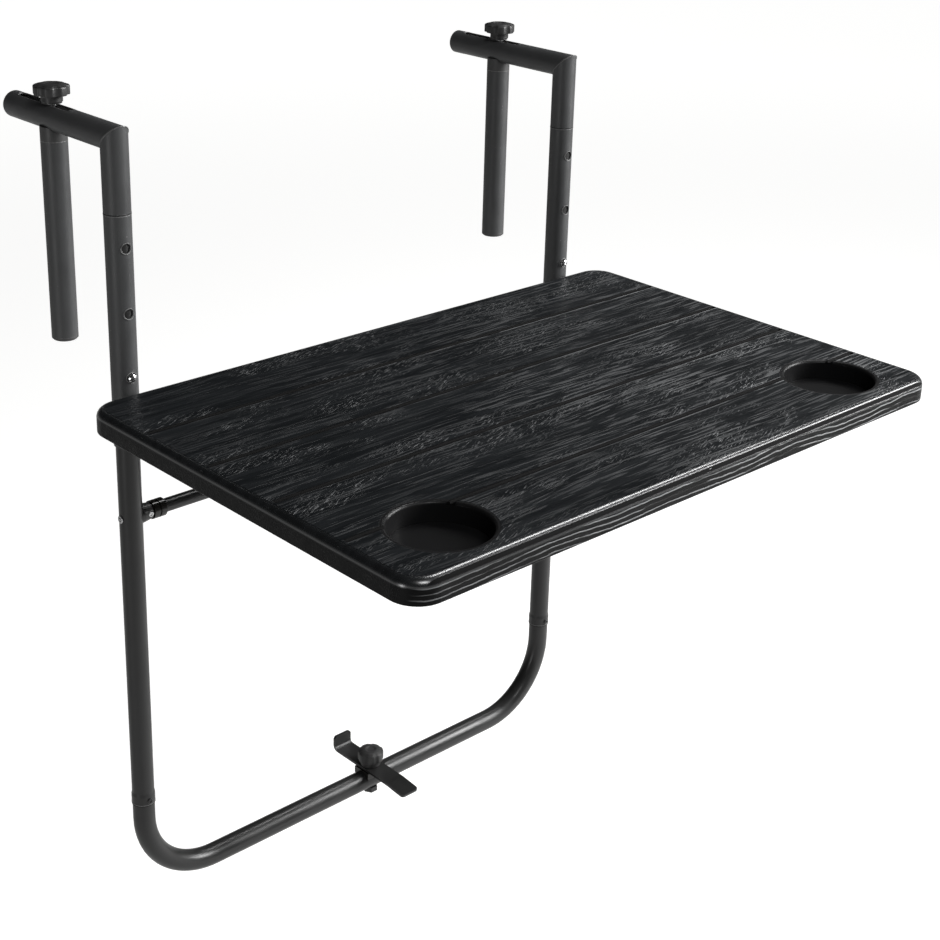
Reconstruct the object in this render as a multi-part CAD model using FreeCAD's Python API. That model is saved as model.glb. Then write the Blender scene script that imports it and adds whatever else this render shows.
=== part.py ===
"""Folding bar table that hangs on a balcony railing.

Two tubular hook arms lie over the top rail. Each arm turns down through a
mitred elbow into an inner tube, on which the table frame slides to one of
several heights and is locked by a sprung button. A rear tube under each arm
slides along a slot and is clamped by a star knob, so that the rail is gripped
between it and the frame. The ribbed table board is hinged to the frame at its
back edge and rests on a swinging support bar. A plate on the lower bow hooks
the frame to the railing.

Frame of reference, in millimetres: X runs along the rail, Y points away from
the user across the rail, Z is up. The origin lies midway between the arms, on
the line where the underside of the arms meets the rear faces of the posts,
which is the top front edge of the rail.
"""
import FreeCAD
import Part
import math
import os

Vec = FreeCAD.Vector

X_AXIS = Vec(1, 0, 0)
Y_AXIS = Vec(0, 1, 0)
Z_AXIS = Vec(0, 0, 1)

# Fits and clearances
push_fit = 0.05
run_fit = 0.06
moving_gap = 0.3
screw_gap = 0.1
stud_gap = 0.3
button_gap = 0.25

# Main tubes: posts, arms and rear tubes share one section
tube_od = 22.5
tube_wall = 1.2
inner_wall = 1.2

# Posts and the height setting
post_inset = 47.0
post_length = 200.0
riser_drop = 60.0
seam_gap = 0.4
hole_radius = 4.0
hole_pitch = 55.0
hole_count = 3
inner_above_leg = 13.4
hole_above_inner_end = 14.0
inner_top_margin = 14.0

# Hook arms
arm_reach = 154.0
slot_start = 60.0
slot_end = 141.0
cap_flange = 2.5
cap_plug = 7.0
cap_edge = 1.2

# Rear tubes
rear_offset = 92.0
rear_length = 170.0
saddle_height = 8.0
saddle_lip = 4.0
saddle_plug = 20.0
foot_flange = 3.0
foot_plug = 14.0

# Clamping knobs and their studs
stud_radius = 4.0
stud_engage = 11.0
nut_flats = 13.0
nut_height = 6.5
washer_radius = 8.3
washer_thickness = 1.0
knob_radius = 15.0
knob_lobes = 7
scallop_radius = 6.0
scallop_depth = 2.2
knob_rim = 5.6
knob_dome = 2.6
knob_taper = 2.4
knob_hub_radius = 8.8
knob_hub_height = 4.6

# Snap buttons
button_out = 3.0
button_flange_radius = 5.0
button_flange_thickness = 1.2
spring_width = 7.0
spring_thickness = 0.7
spring_length = 42.0
spring_bend = 3.0

# Legs and the lower bow
leg_plug = 35.0
seam_drop = 600.0
leg_rim_height = 9.0
leg_rim_growth = 0.6
leg_rim_taper = 3.0
bow_below_seam = 93.0
bow_bend = 75.0
bow_plug = 30.0
bow_shoulder = 6.0

# Screws
screw_radius = 1.9
screw_head_radius = 3.4
screw_head_height = 1.9
screw_length = 6.0
bow_screw_above_seam = 4.5
leg_screw_above_end = 16.0

# Table board
board_width = 600.0
board_depth = 400.0
board_height = 20.0
board_above_post_end = 51.15
board_behind_gap = 3.0
board_skin = 4.0
skirt_wall = 3.0
board_corner = 24.0
board_edge = 7.0
skirt_edge = 1.2
plank_count = 5
groove_width = 3.2
groove_depth = 1.6
groove_stop = 8.0
rib_wall = 2.4
rib_height = 10.0
rib_columns = 7
cup_radius = 38.5
cup_depth = 16.5
cup_floor = 2.6
cup_wall = 2.6
cup_rim = 2.5
cup_from_side = 74.0
cup_from_front = 57.0

# Board hinges
hinge_from_back = 14.5
hinge_below_board = 10.0
hinge_pin_radius = 3.0
hinge_arm_width = 6.0
hinge_arm_nose = 7.0
leaf_thickness = 2.5
leaf_ear_gap = 0.4
leaf_ear_nose = 6.4
leaf_width = 44.0
leaf_front = 42.0
leaf_rear = 6.0
leaf_hole_across = 30.0
leaf_hole_front = 34.0
leaf_hole_rear = 14.0
pin_head_radius = 4.6
pin_head = 1.6

# Screw bosses under the board
boss_radius = 4.6
pilot_gap = 0.05
board_screw_radius = 1.7
board_screw_head_radius = 3.6
board_screw_head_height = 1.8
board_screw_bite = 13.0

# Support bar and its pivots
bar_od = 12.0
bar_wall = 1.2
bar_seat_from_back = 170.0
bar_bend = 28.0
bar_inset = 100.0
pivot_below_board = 118.0
pivot_boss_length = 9.0
pivot_boss_radius = 8.6
pivot_boss_nose = 7.0
ferrule_radius = 8.2
ferrule_length = 12.0
ferrule_bottom = 3.5
ferrule_groove = 1.6
ferrule_groove_depth = 1.0
pivot_bolt_radius = 2.5
pivot_head_radius = 3.6
pivot_head_height = 2.2
pivot_socket_flats = 3.0
pivot_socket_depth = 1.3
boss_screw_radius = 1.5
boss_screw_head_radius = 2.6
boss_screw_head_height = 1.2

# Bar clips under the board
clip_from_bend = 25.0
clip_width = 16.0
clip_wall = 2.0
clip_mouth_angle = 100.0
clip_flange = 12.0

# Lower hook on the bow
hook_offset = 15.0
hook_plate_width = 21.0
hook_plate_thickness = 2.5
hook_front = 62.0
hook_rear = 47.0
hook_tab = 16.0
hook_tip_length = 24.0
hook_tip_angle = 5.0
hook_bend = 3.5
hook_corner = 3.5
hook_saddle_length = 24.0
hook_saddle_height = 2.5
hook_saddle_wrap = 5.0
hook_bolt_head = 5.0
hook_bolt_flats = 13.0
hook_bolt_engage = 11.0
hook_knob_radius = 13.0
hook_knob_height = 17.0
hook_knob_hub = 5.0

# Derived places and sizes
tube_r = tube_od / 2
tube_id_r = tube_r - tube_wall
inner_r = tube_id_r - push_fit
inner_id_r = inner_r - inner_wall
plug_r = inner_id_r - push_fit
post_x = board_width / 2 - post_inset
post_y = -tube_r
arm_z = tube_r
seam_z = arm_z - riser_drop
post_top_z = seam_z - seam_gap
post_bottom_z = post_top_z - post_length
leg_top_z = post_bottom_z + leg_plug
inner_bottom_z = leg_top_z + inner_above_leg
hole_low_z = inner_bottom_z + hole_above_inner_end
holes_z = [hole_low_z + hole_pitch * i for i in range(hole_count)]
inner_top_z = -inner_top_margin
arm_end_y = post_y + arm_reach
rear_y = post_y + rear_offset
rear_top_z = -saddle_height
board_back_y = -tube_od - board_behind_gap
board_top_z = post_bottom_z + board_above_post_end
pivot_drop = pivot_below_board - board_top_z
bow_drop = seam_drop + bow_below_seam
underside_z = board_top_z - board_height
hinge_y = board_back_y - hinge_from_back
hinge_z = underside_z - hinge_below_board
bar_r = bar_od / 2
bar_seat_y = board_back_y - bar_seat_from_back
bar_seat_z = underside_z - clip_wall - moving_gap - bar_r
bar_end_x = post_x - inner_r - pivot_boss_length - leaf_ear_gap
clip_x = post_x - bar_inset - bar_bend - clip_from_bend
clamp_top_z = -bow_drop + inner_r + hook_saddle_height
plate_top_z = clamp_top_z + moving_gap + hook_plate_thickness


def cylinder(radius, start, end):
    """A solid cylinder between two points."""
    axis = end - start
    return Part.makeCylinder(radius, axis.Length, start, axis)


def pipe(outer, inner, start, end):
    """A straight tube between two points."""
    return cylinder(outer, start, end).cut(cylinder(inner, start, end))


def block(x_range, y_range, z_range):
    """A box given by its three ranges."""
    size = [abs(pair[1] - pair[0]) for pair in (x_range, y_range, z_range)]
    corner = Vec(min(x_range), min(y_range), min(z_range))
    return Part.makeBox(size[0], size[1], size[2], corner)


def prism(points, depth):
    """A straight-sided solid from a closed outline."""
    outline = Part.makePolygon(points + [points[0]])
    return Part.Face(outline).extrude(depth)


def spun(profile, base, turn_axis=Z_AXIS):
    """A turned solid from (radius, height) points, standing at base along turn_axis."""
    points = [Vec(radius, 0, height) for radius, height in profile]
    face = Part.Face(Part.makePolygon(points + [points[0]]))
    solid = face.revolve(Vec(0, 0, 0), Z_AXIS, 360)
    solid.Placement = FreeCAD.Placement(base, FreeCAD.Rotation(Z_AXIS, turn_axis))
    return solid


def hexagon(across_flats, height, base, turn_axis=Z_AXIS):
    """A hexagonal prism standing at base along turn_axis."""
    corner = across_flats / math.sqrt(3)
    angles = [math.radians(60 * i) for i in range(6)]
    points = [Vec(corner * math.cos(a), corner * math.sin(a), 0) for a in angles]
    solid = prism(points, Vec(0, 0, height))
    solid.Placement = FreeCAD.Placement(base, FreeCAD.Rotation(Z_AXIS, turn_axis))
    return solid


def bent_strip(path, thickness, width, x_middle):
    """A strip bent in the YZ plane: path is a wire on its one face, width runs along X."""
    band = path.makeOffset2D(thickness, 0, True, True)
    strip = band.extrude(Vec(width, 0, 0))
    strip.translate(Vec(x_middle - width / 2, 0, 0))
    return strip


def rounded_path(points, radius):
    """An open wire through points with every inner corner rounded by one radius."""
    edges = []
    last = points[0]
    for before, corner, after in zip(points, points[1:], points[2:]):
        back = (before - corner).normalize()
        ahead = (after - corner).normalize()
        half = back.getAngle(ahead) / 2
        reach = radius / math.tan(half)
        start = corner + back * reach
        end = corner + ahead * reach
        middle_way = (back + ahead).normalize()
        middle = corner + middle_way * (radius / math.sin(half) - radius)
        edges.append(Part.makeLine(last, start))
        edges.append(Part.Arc(start, middle, end).toShape())
        last = end
    edges.append(Part.makeLine(last, points[-1]))
    return Part.Wire(edges)


def swept_tube(points, bend, outer, inner):
    """A bent tube whose axis follows points with rounded corners."""
    path = rounded_path(points, bend)
    heading = points[1] - points[0]
    shells = []
    for radius in (outer, inner):
        ring = Part.Wire(Part.makeCircle(radius, points[0], heading))
        shells.append(path.makePipeShell([ring], True, True))
    return shells[0].cut(shells[1])


def pan_screw(head_at, inward, shank, length, head_radius, head_height):
    """A pan-head screw: its head stands outside the point head_at, its shank goes inward."""
    edge = head_height * 0.35
    profile = [
        (0, -length),
        (shank, -length),
        (shank, 0),
        (head_radius, 0),
        (head_radius, head_height - edge),
        (head_radius - edge, head_height),
        (0, head_height),
    ]
    return spun(profile, head_at, inward * -1)


def mirrored(shape):
    """The same piece on the other side."""
    return shape.mirror(Vec(0, 0, 0), X_AXIS)


def export(name, *shapes):
    """Write one node; several shapes are separate solids of one node."""
    solids = [solid for shape in shapes for solid in shape.Solids]
    result = solids[0] if len(solids) == 1 else Part.makeCompound(solids)
    result.exportStep("parts/" + name + ".step")


def export_pair(name, shape):
    """Write a left piece and its mirror image on the right."""
    export("left_" + name, shape)
    export("right_" + name, mirrored(shape))


def export_both(name, shape):
    """Write a left piece and its mirror image as one node."""
    export(name, shape, mirrored(shape))


def at_left(y, z, x_inward=0.0):
    """A point at the left post's X, shifted inward along X."""
    return Vec(-post_x + x_inward, y, z)


# Hook arms


def mitre_cutter(keep_arm):
    """Half space beyond the mitre plane, which runs through the elbow at 45 degrees."""
    reach = 4 * tube_od
    side = -1 if keep_arm else 1
    corner = at_left(post_y, arm_z)
    diagonal = Vec(0, reach, -reach)
    away = Vec(0, side * reach, side * reach)
    points = [corner - diagonal, corner + diagonal, corner + diagonal + away, corner - diagonal + away]
    solid = prism(points, Vec(2 * reach, 0, 0))
    solid.translate(Vec(-reach, 0, 0))
    return solid


def stadium(start_y, end_y, half_width, z_low, z_high):
    """A vertical slot body along Y with round ends, at the left post's X."""
    first = start_y + half_width
    last = end_y - half_width
    ends = [cylinder(half_width, at_left(y, z_low), at_left(y, z_high)) for y in (first, last)]
    middle = block((-post_x - half_width, -post_x + half_width), (first, last), (z_low, z_high))
    return middle.fuse(ends).removeSplitter()


def hook_arm():
    """The slotted top tube of one hook, mitred at the elbow."""
    start = at_left(post_y - tube_od, arm_z)
    end = at_left(arm_end_y - cap_flange, arm_z)
    tube = pipe(tube_r, tube_id_r, start, end).cut(mitre_cutter(True))
    slot = stadium(post_y + slot_start, post_y + slot_end, stud_radius + stud_gap, -tube_r, 2 * tube_od)
    return tube.cut(slot)


def riser():
    """The short upright of one hook, mitred under the arm."""
    tube = pipe(tube_r, tube_id_r, at_left(post_y, seam_z), at_left(post_y, arm_z + tube_od))
    return tube.cut(mitre_cutter(False))


def inner_tube():
    """The tube fixed in the riser, on which the post slides."""
    tube = pipe(inner_r, inner_id_r, at_left(post_y, inner_bottom_z), at_left(post_y, inner_top_z))
    front = at_left(post_y - tube_od, hole_low_z)
    return tube.cut(cylinder(hole_radius, front, at_left(post_y, hole_low_z)))


def tube_plug(outer, bore, flange, depth, edge, base, outward):
    """A plastic end plug: a flange over the tube's end and a hollow spigot inside it."""
    spigot = bore - push_fit
    shell = spigot - tube_wall
    profile = [
        (0, -edge),
        (shell, -edge),
        (shell, -depth),
        (spigot, -depth),
        (spigot, 0),
        (outer, 0),
        (outer, flange - edge),
        (outer - edge, flange),
        (0, flange),
    ]
    return spun(profile, base, outward)


def arm_cap():
    """The plug in the rear end of one arm."""
    base = at_left(arm_end_y - cap_flange, arm_z)
    return tube_plug(tube_r, tube_id_r, cap_flange, cap_plug, cap_edge, base, Y_AXIS)


# Snap buttons


def snap_button():
    """A domed button that locks the post on the inner tube."""
    z = hole_low_z
    radius = hole_radius - button_gap
    flange_y = post_y - math.sqrt(inner_id_r**2 - button_flange_radius**2) + push_fit * 2
    tip_y = post_y - tube_r - button_out
    dome = radius * 0.45
    back = flange_y + button_flange_thickness
    height = back - tip_y
    profile = [
        (0, 0),
        (button_flange_radius, 0),
        (button_flange_radius, button_flange_thickness),
        (radius, button_flange_thickness),
        (radius, height - dome),
        (radius * 0.82, height - dome * 0.42),
        (radius * 0.45, height - dome * 0.08),
        (0, height),
    ]
    return spun(profile, at_left(back, z), Y_AXIS * -1), back


def button_spring(back):
    """The bent leaf spring behind one button, braced against the inner tube's rear wall."""
    z = hole_low_z
    front_y = back + push_fit
    rear_y_inside = post_y + math.sqrt(inner_id_r**2 - (spring_width / 2) ** 2) - push_fit
    low = z - button_flange_radius
    top = z + spring_length
    points = [
        Vec(0, front_y, low),
        Vec(0, front_y, z + button_flange_radius),
        Vec(0, post_y, top),
        Vec(0, rear_y_inside, z),
        Vec(0, rear_y_inside, low),
    ]
    path = rounded_path(points, spring_bend)
    return bent_strip(path, spring_thickness, spring_width, -post_x)


# Rear tubes


def rear_tube():
    """The upright behind the rail."""
    low = at_left(rear_y, rear_top_z - rear_length)
    return pipe(tube_r, tube_id_r, low, at_left(rear_y, rear_top_z))


def rear_saddle():
    """The plastic top of a rear tube, hollowed to the arm's underside, with a nut pocket."""
    body = cylinder(tube_r, at_left(rear_y, rear_top_z), at_left(rear_y, saddle_lip))
    spigot_low = rear_top_z - saddle_plug
    spigot = cylinder(tube_id_r - push_fit, at_left(rear_y, spigot_low), at_left(rear_y, rear_top_z))
    saddle = body.fuse(spigot)
    arm_start = at_left(rear_y - tube_od, arm_z)
    arm_end = at_left(rear_y + tube_od, arm_z)
    saddle = saddle.cut(cylinder(tube_r + moving_gap, arm_start, arm_end))
    bore = cylinder(stud_radius + stud_gap, at_left(rear_y, spigot_low), at_left(rear_y, saddle_lip))
    pocket_low = at_left(rear_y, nut_low_z() - screw_gap)
    pocket = hexagon(nut_flats + 2 * screw_gap, nut_height + screw_gap, pocket_low)
    return saddle.cut(bore).cut(pocket)


def nut_low_z():
    """Underside of the captive nut, in the middle of the saddle's spigot."""
    return rear_top_z - saddle_plug / 2 - nut_height / 2


def rear_nut():
    """The captive nut in a rear saddle."""
    nut = hexagon(nut_flats, nut_height, at_left(rear_y, nut_low_z()))
    low = at_left(rear_y, nut_low_z())
    high = at_left(rear_y, nut_low_z() + nut_height)
    return nut.cut(cylinder(stud_radius + run_fit, low, high))


def rear_foot():
    """The plug in the lower end of a rear tube."""
    base = at_left(rear_y, rear_top_z - rear_length)
    return tube_plug(tube_r, tube_id_r, foot_flange, foot_plug, cap_edge, base, Z_AXIS * -1)


# Knobs


def star_knob(base, radius, rim, dome, taper, hub_radius, hub_height, bore, bore_depth):
    """A lobed knob standing on base: hub, tapered underside, scalloped rim and shallow dome."""
    crown = hub_height + taper + rim
    profile = [
        (0, 0),
        (hub_radius, 0),
        (hub_radius, hub_height),
        (radius, hub_height + taper),
        (radius, crown),
        (radius - dome, crown + dome * 0.72),
        (radius * 0.4, crown + dome),
        (0, crown + dome),
    ]
    knob = spun(profile, Vec(0, 0, 0))
    for i in range(knob_lobes):
        angle = 2 * math.pi * i / knob_lobes
        out = radius + scallop_radius - scallop_depth
        foot = Vec(out * math.cos(angle), out * math.sin(angle), hub_height)
        knob = knob.cut(cylinder(scallop_radius, foot, foot + Vec(0, 0, crown + dome)))
    knob = knob.cut(cylinder(bore, Vec(0, 0, 0), Vec(0, 0, bore_depth)))
    knob.translate(base)
    return knob


def rear_knob():
    """The knob above one arm."""
    base = at_left(rear_y, knob_base_z())
    bore = stud_radius
    return star_knob(
        base, knob_radius, knob_rim, knob_dome, knob_taper,
        knob_hub_radius, knob_hub_height, bore, stud_engage,
    )


def knob_base_z():
    """Underside of the knob's hub, above its washer on the arm."""
    return tube_od + moving_gap + washer_thickness


def knob_stud():
    """The threaded stud from the knob down through the arm into the captive nut."""
    low = nut_low_z() - stud_radius / 2
    return cylinder(stud_radius, at_left(rear_y, low), at_left(rear_y, knob_base_z() + stud_engage))


def knob_washer():
    """The washer under the knob's hub."""
    low = at_left(rear_y, knob_base_z() - washer_thickness)
    high = at_left(rear_y, knob_base_z())
    return pipe(washer_radius, stud_radius + screw_gap, low, high)


# Posts, legs and bow


def leg_screw_z():
    """Height of the screws that hold the legs in the posts."""
    return post_bottom_z + leg_screw_above_end


def post():
    """The outer upright with its row of height holes."""
    tube = pipe(tube_r, tube_id_r, at_left(post_y, post_bottom_z), at_left(post_y, post_top_z))
    for z in holes_z:
        tube = tube.cut(cylinder(hole_radius, at_left(post_y - tube_od, z), at_left(post_y, z)))
    return tube.cut(leg_screw_hole())


def leg_screw_hole():
    """The hole for the leg's screw, on the outer side."""
    axis = Vec(-tube_od, 0, 0)
    middle = at_left(post_y, leg_screw_z())
    return cylinder(screw_radius + screw_gap, middle + axis, middle)


def leg():
    """The thinner lower upright, with a raised rim at its lower end."""
    top = leg_top_z + seam_drop
    rim = inner_r + leg_rim_growth
    profile = [
        (inner_id_r, 0),
        (rim, 0),
        (rim, leg_rim_height),
        (inner_r, leg_rim_height + leg_rim_taper),
        (inner_r, top),
        (inner_id_r, top),
    ]
    tube = spun(profile, at_left(post_y, -seam_drop))
    reach = Vec(tube_od, 0, 0)
    pivot = at_left(post_y, -pivot_drop)
    tube = tube.cut(cylinder(pivot_bolt_radius + screw_gap, pivot - reach, pivot + reach))
    return tube.cut(leg_screw_hole()).cut(bow_screw_hole())


def bow_screw_at():
    """Seat of the screw at the lower seam, on the front of the leg's rim."""
    return at_left(post_y - inner_r - leg_rim_growth, bow_screw_above_seam - seam_drop)


def bow_screw_hole():
    """The hole for that screw."""
    seat = bow_screw_at()
    return cylinder(screw_radius + screw_gap, seat, seat + Vec(0, inner_r, 0))


def lower_bow():
    """The bent tube that joins the legs, plugged up into them."""
    top_z = -seam_drop - seam_gap
    points = [
        at_left(post_y, top_z - bow_shoulder),
        at_left(post_y, -bow_drop),
        Vec(post_x, post_y, -bow_drop),
        Vec(post_x, post_y, top_z - bow_shoulder),
    ]
    bow = swept_tube(points, bow_bend, inner_r, inner_id_r)
    shoulder = pipe(inner_r, plug_r - inner_wall, points[0], at_left(post_y, top_z))
    plug_top = at_left(post_y, top_z + bow_plug)
    plug = pipe(plug_r, plug_r - inner_wall, points[0], plug_top)
    end = shoulder.fuse(plug).cut(bow_screw_hole())
    bow = bow.fuse([end, mirrored(end)]).removeSplitter()
    low = Vec(hook_offset, post_y, -bow_drop - tube_od)
    high = Vec(hook_offset, post_y, -bow_drop + tube_od)
    return bow.cut(cylinder(stud_radius + screw_gap, low, high))


def leg_screw():
    """The screw that holds a leg in its post."""
    seat = at_left(post_y, leg_screw_z(), -tube_r)
    return pan_screw(seat, X_AXIS, screw_radius, screw_length, screw_head_radius, screw_head_height)


def bow_screw():
    """The screw that holds the bow in a leg."""
    return pan_screw(
        bow_screw_at(), Y_AXIS, screw_radius, screw_length,
        screw_head_radius * 0.8, screw_head_height * 0.8,
    )


# Board hinges


def hinge_pin_line(reach):
    """Two points on the left hinge's axis, reach to either side of the post's X."""
    return at_left(hinge_y, hinge_z, -reach), at_left(hinge_y, hinge_z, reach)


def hinge_arm():
    """The flat arm welded to a post's front, with a round nose about the hinge pin."""
    half = hinge_arm_width / 2
    nose_start, nose_end = hinge_pin_line(half)
    nose = cylinder(hinge_arm_nose, nose_start, nose_end)
    x_range = (-post_x - half, -post_x + half)
    web = block(x_range, (hinge_y, post_y), (hinge_z - hinge_arm_nose, hinge_z + hinge_arm_nose))
    post_body = cylinder(tube_r, at_left(post_y, post_bottom_z), at_left(post_y, 0))
    arm = nose.fuse(web).cut(post_body)
    return arm.cut(cylinder(hinge_pin_radius + run_fit, nose_start, nose_end)).removeSplitter()


def leaf_ear_faces():
    """Inner and outer distance of a leaf's ears from the arm's middle plane."""
    inner = hinge_arm_width / 2 + leaf_ear_gap
    return inner, inner + leaf_thickness


def hinge_leaf():
    """The plate under the board, with two ears that straddle the hinge arm."""
    plate_low = underside_z - leaf_thickness
    x_range = (-post_x - leaf_width / 2, -post_x + leaf_width / 2)
    leaf = block(x_range, (hinge_y - leaf_front, hinge_y + leaf_rear), (plate_low, underside_z))
    inner, outer = leaf_ear_faces()
    for side in (-1, 1):
        start = at_left(hinge_y, hinge_z, side * inner)
        end = at_left(hinge_y, hinge_z, side * outer)
        nose = cylinder(leaf_ear_nose, start, end)
        ear_x = (start.x, end.x)
        web = block(ear_x, (hinge_y - leaf_ear_nose, hinge_y + leaf_ear_nose), (hinge_z, plate_low))
        leaf = leaf.fuse([nose, web])
    pin_start, pin_end = hinge_pin_line(leaf_width)
    leaf = leaf.cut(cylinder(hinge_pin_radius + push_fit, pin_start, pin_end))
    for place in leaf_screw_places():
        low = Vec(place.x, place.y, plate_low)
        leaf = leaf.cut(cylinder(board_screw_radius + screw_gap, low, place))
    return leaf.removeSplitter()


def leaf_screw_places():
    """The screw centres of the left leaf, on the board's underside."""
    half = leaf_hole_across / 2
    rows = (hinge_y - leaf_hole_front, hinge_y - leaf_hole_rear)
    return [at_left(y, underside_z, x) for y in rows for x in (-half, half)]


def hinge_pin():
    """The headed pin through the ears and the arm."""
    outer = leaf_ear_faces()[1]
    start, end = hinge_pin_line(outer + pin_head)
    pin = cylinder(hinge_pin_radius, start, end)
    head = cylinder(pin_head_radius, start, start + Vec(pin_head - screw_gap, 0, 0))
    clip = cylinder(pin_head_radius, end - Vec(pin_head - screw_gap, 0, 0), end)
    return pin.fuse([head, clip])


# Table board


def board_y(from_back):
    """Y of a place measured from the board's back edge."""
    return board_back_y - from_back


def rounded_slab(inset, corner, z_low, z_high):
    """The board's outline, inset all round, as a slab with round vertical corners."""
    half = board_width / 2 - inset
    slab = block((-half, half), (board_y(inset), board_y(board_depth - inset)), (z_low, z_high))
    uprights = [edge for edge in slab.Edges if abs(edge.tangentAt(edge.FirstParameter).z) > 0.9]
    return slab.makeFillet(corner, uprights)


def rim_edges(solid, z):
    """The edges of a solid that lie in one level plane."""
    level = [edge for edge in solid.Edges if edge.BoundBox.ZLength < 1e-6]
    return [edge for edge in level if abs(edge.BoundBox.ZMin - z) < 1e-6]


def board_ribs():
    """Stiffening ribs under the board: one under each plank joint and evenly spaced across."""
    rib_low = board_top_z - board_skin - rib_height
    rib_high = board_top_z - board_skin / 2
    half = rib_wall / 2
    inner_x = board_width / 2 - skirt_wall / 2
    ribs = []
    for y in groove_lines():
        ribs.append(block((-inner_x, inner_x), (y - half, y + half), (rib_low, rib_high)))
    pitch = board_width / (rib_columns + 1)
    back = board_y(skirt_wall / 2)
    front = board_y(board_depth - skirt_wall / 2)
    for i in range(rib_columns):
        x = pitch * (i + 1) - board_width / 2
        ribs.append(block((x - half, x + half), (front, back), (rib_low, rib_high)))
    return ribs


def groove_lines():
    """Y of each joint between planks."""
    plank = board_depth / plank_count
    return [board_y(plank * (i + 1)) for i in range(plank_count - 1)]


def board_groove(y):
    """A V-bottomed groove between two planks."""
    half = groove_width / 2
    inner_x = board_width / 2 - groove_stop
    top = board_top_z
    points = [
        Vec(-inner_x, y - half, top + half),
        Vec(-inner_x, y - half, top),
        Vec(-inner_x, y - half / 3, top - groove_depth),
        Vec(-inner_x, y + half / 3, top - groove_depth),
        Vec(-inner_x, y + half, top),
        Vec(-inner_x, y + half, top + half),
    ]
    return prism(points, Vec(2 * inner_x, 0, 0))


def screw_bosses(places):
    """Bosses under the board that end at the underside, each with a pilot hole to be cut."""
    bosses = []
    pilots = []
    for place in places:
        top = Vec(place.x, place.y, board_top_z - board_skin / 2)
        bosses.append(cylinder(boss_radius, place, top))
        pilot_end = place + Vec(0, 0, board_screw_bite + screw_gap)
        pilots.append(cylinder(board_screw_radius + pilot_gap, place, pilot_end))
    return bosses, pilots


def cup_centre(side):
    """Centre of a cup recess on the board's top plane; side is -1 or 1."""
    x = side * (board_width / 2 - cup_from_side)
    return Vec(x, board_y(board_depth - cup_from_front), board_top_z)


def table_board():
    """The moulded board: a skin with a skirt, ribs, screw bosses and two cup recesses."""
    board = rounded_slab(0, board_corner, underside_z, board_top_z)
    board = board.makeFillet(board_edge, rim_edges(board, board_top_z))
    board = board.makeFillet(skirt_edge, rim_edges(board, underside_z))
    inner_corner = board_corner - skirt_wall
    hollow = rounded_slab(skirt_wall, inner_corner, underside_z, board_top_z - board_skin)
    board = board.cut(hollow)
    wells = []
    cups = []
    for side in (-1, 1):
        top = cup_centre(side)
        floor = top - Vec(0, 0, cup_depth)
        wells.append(cylinder(cup_radius + cup_wall, floor - Vec(0, 0, cup_floor), top - Vec(0, 0, 1)))
        cups.append(cylinder(cup_radius, floor, top))
    places = leaf_screw_places() + clip_screw_places()
    places += [Vec(-place.x, place.y, place.z) for place in places]
    bosses, pilots = screw_bosses(places)
    board = board.fuse(board_ribs() + wells + bosses).cut(cups)
    mouths = [edge for edge in rim_edges(board, board_top_z) if len(edge.Vertexes) == 1]
    board = board.makeFillet(cup_rim, mouths)
    board = board.cut(pilots + [board_groove(y) for y in groove_lines()])
    return board.removeSplitter()


def board_screws(places, seat_drop):
    """Pan-head screws into the board's bosses, seated seat_drop under its underside."""
    screws = []
    for place in places:
        seat = place - Vec(0, 0, seat_drop)
        screws.append(
            pan_screw(
                seat, Z_AXIS, board_screw_radius, board_screw_bite + seat_drop,
                board_screw_head_radius, board_screw_head_height,
            )
        )
    return screws


# Support bar


def support_bar():
    """The bail that carries the board: pivots in the legs, swings up under the board."""
    pivot = Vec(0, post_y, -pivot_drop)
    seat = Vec(0, bar_seat_y, bar_seat_z)
    end_x = bar_end_x - ferrule_bottom
    arm_x = post_x - bar_inset
    points = [
        pivot + Vec(-end_x, 0, 0),
        pivot + Vec(-arm_x, 0, 0),
        seat + Vec(-arm_x, 0, 0),
        seat + Vec(arm_x, 0, 0),
        pivot + Vec(arm_x, 0, 0),
        pivot + Vec(end_x, 0, 0),
    ]
    return swept_tube(points, bar_bend, bar_r, bar_r - bar_wall)


def pivot_boss():
    """The spacer on a leg's inner face, hollowed to the leg and tapered towards the bar."""
    foot = at_left(post_y, -pivot_drop)
    length = inner_r + pivot_boss_length
    profile = [
        (0, 0),
        (pivot_boss_radius, 0),
        (pivot_boss_radius, inner_r),
        (pivot_boss_nose, length),
        (0, length),
    ]
    boss = spun(profile, foot, X_AXIS)
    boss = boss.cut(cylinder(inner_r + push_fit, foot - Z_AXIS * tube_od, foot + Z_AXIS * tube_od))
    boss = boss.cut(cylinder(pivot_bolt_radius + screw_gap, foot, foot + Vec(length, 0, 0)))
    return boss.cut(boss_screw_hole())


def boss_screw_at():
    """Seat of the small screw on the front of a pivot boss."""
    return at_left(post_y - pivot_boss_nose, -pivot_drop, inner_r + pivot_boss_length * 0.6)


def boss_screw_depth():
    """Length of that screw, which ends short of the pivot bolt."""
    return pivot_boss_nose - pivot_bolt_radius - 2 * screw_gap


def boss_screw_hole():
    """The spot-faced hole for that screw."""
    seat = boss_screw_at()
    hole = cylinder(boss_screw_radius + pilot_gap, seat, seat + Y_AXIS * boss_screw_depth())
    face = cylinder(boss_screw_head_radius + screw_gap, seat - Y_AXIS * pivot_boss_radius, seat)
    return hole.fuse(face)


def boss_screw():
    """The small screw on the front of a pivot boss."""
    return pan_screw(
        boss_screw_at(), Y_AXIS, boss_screw_radius, boss_screw_depth() - screw_gap,
        boss_screw_head_radius, boss_screw_head_height,
    )


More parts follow.
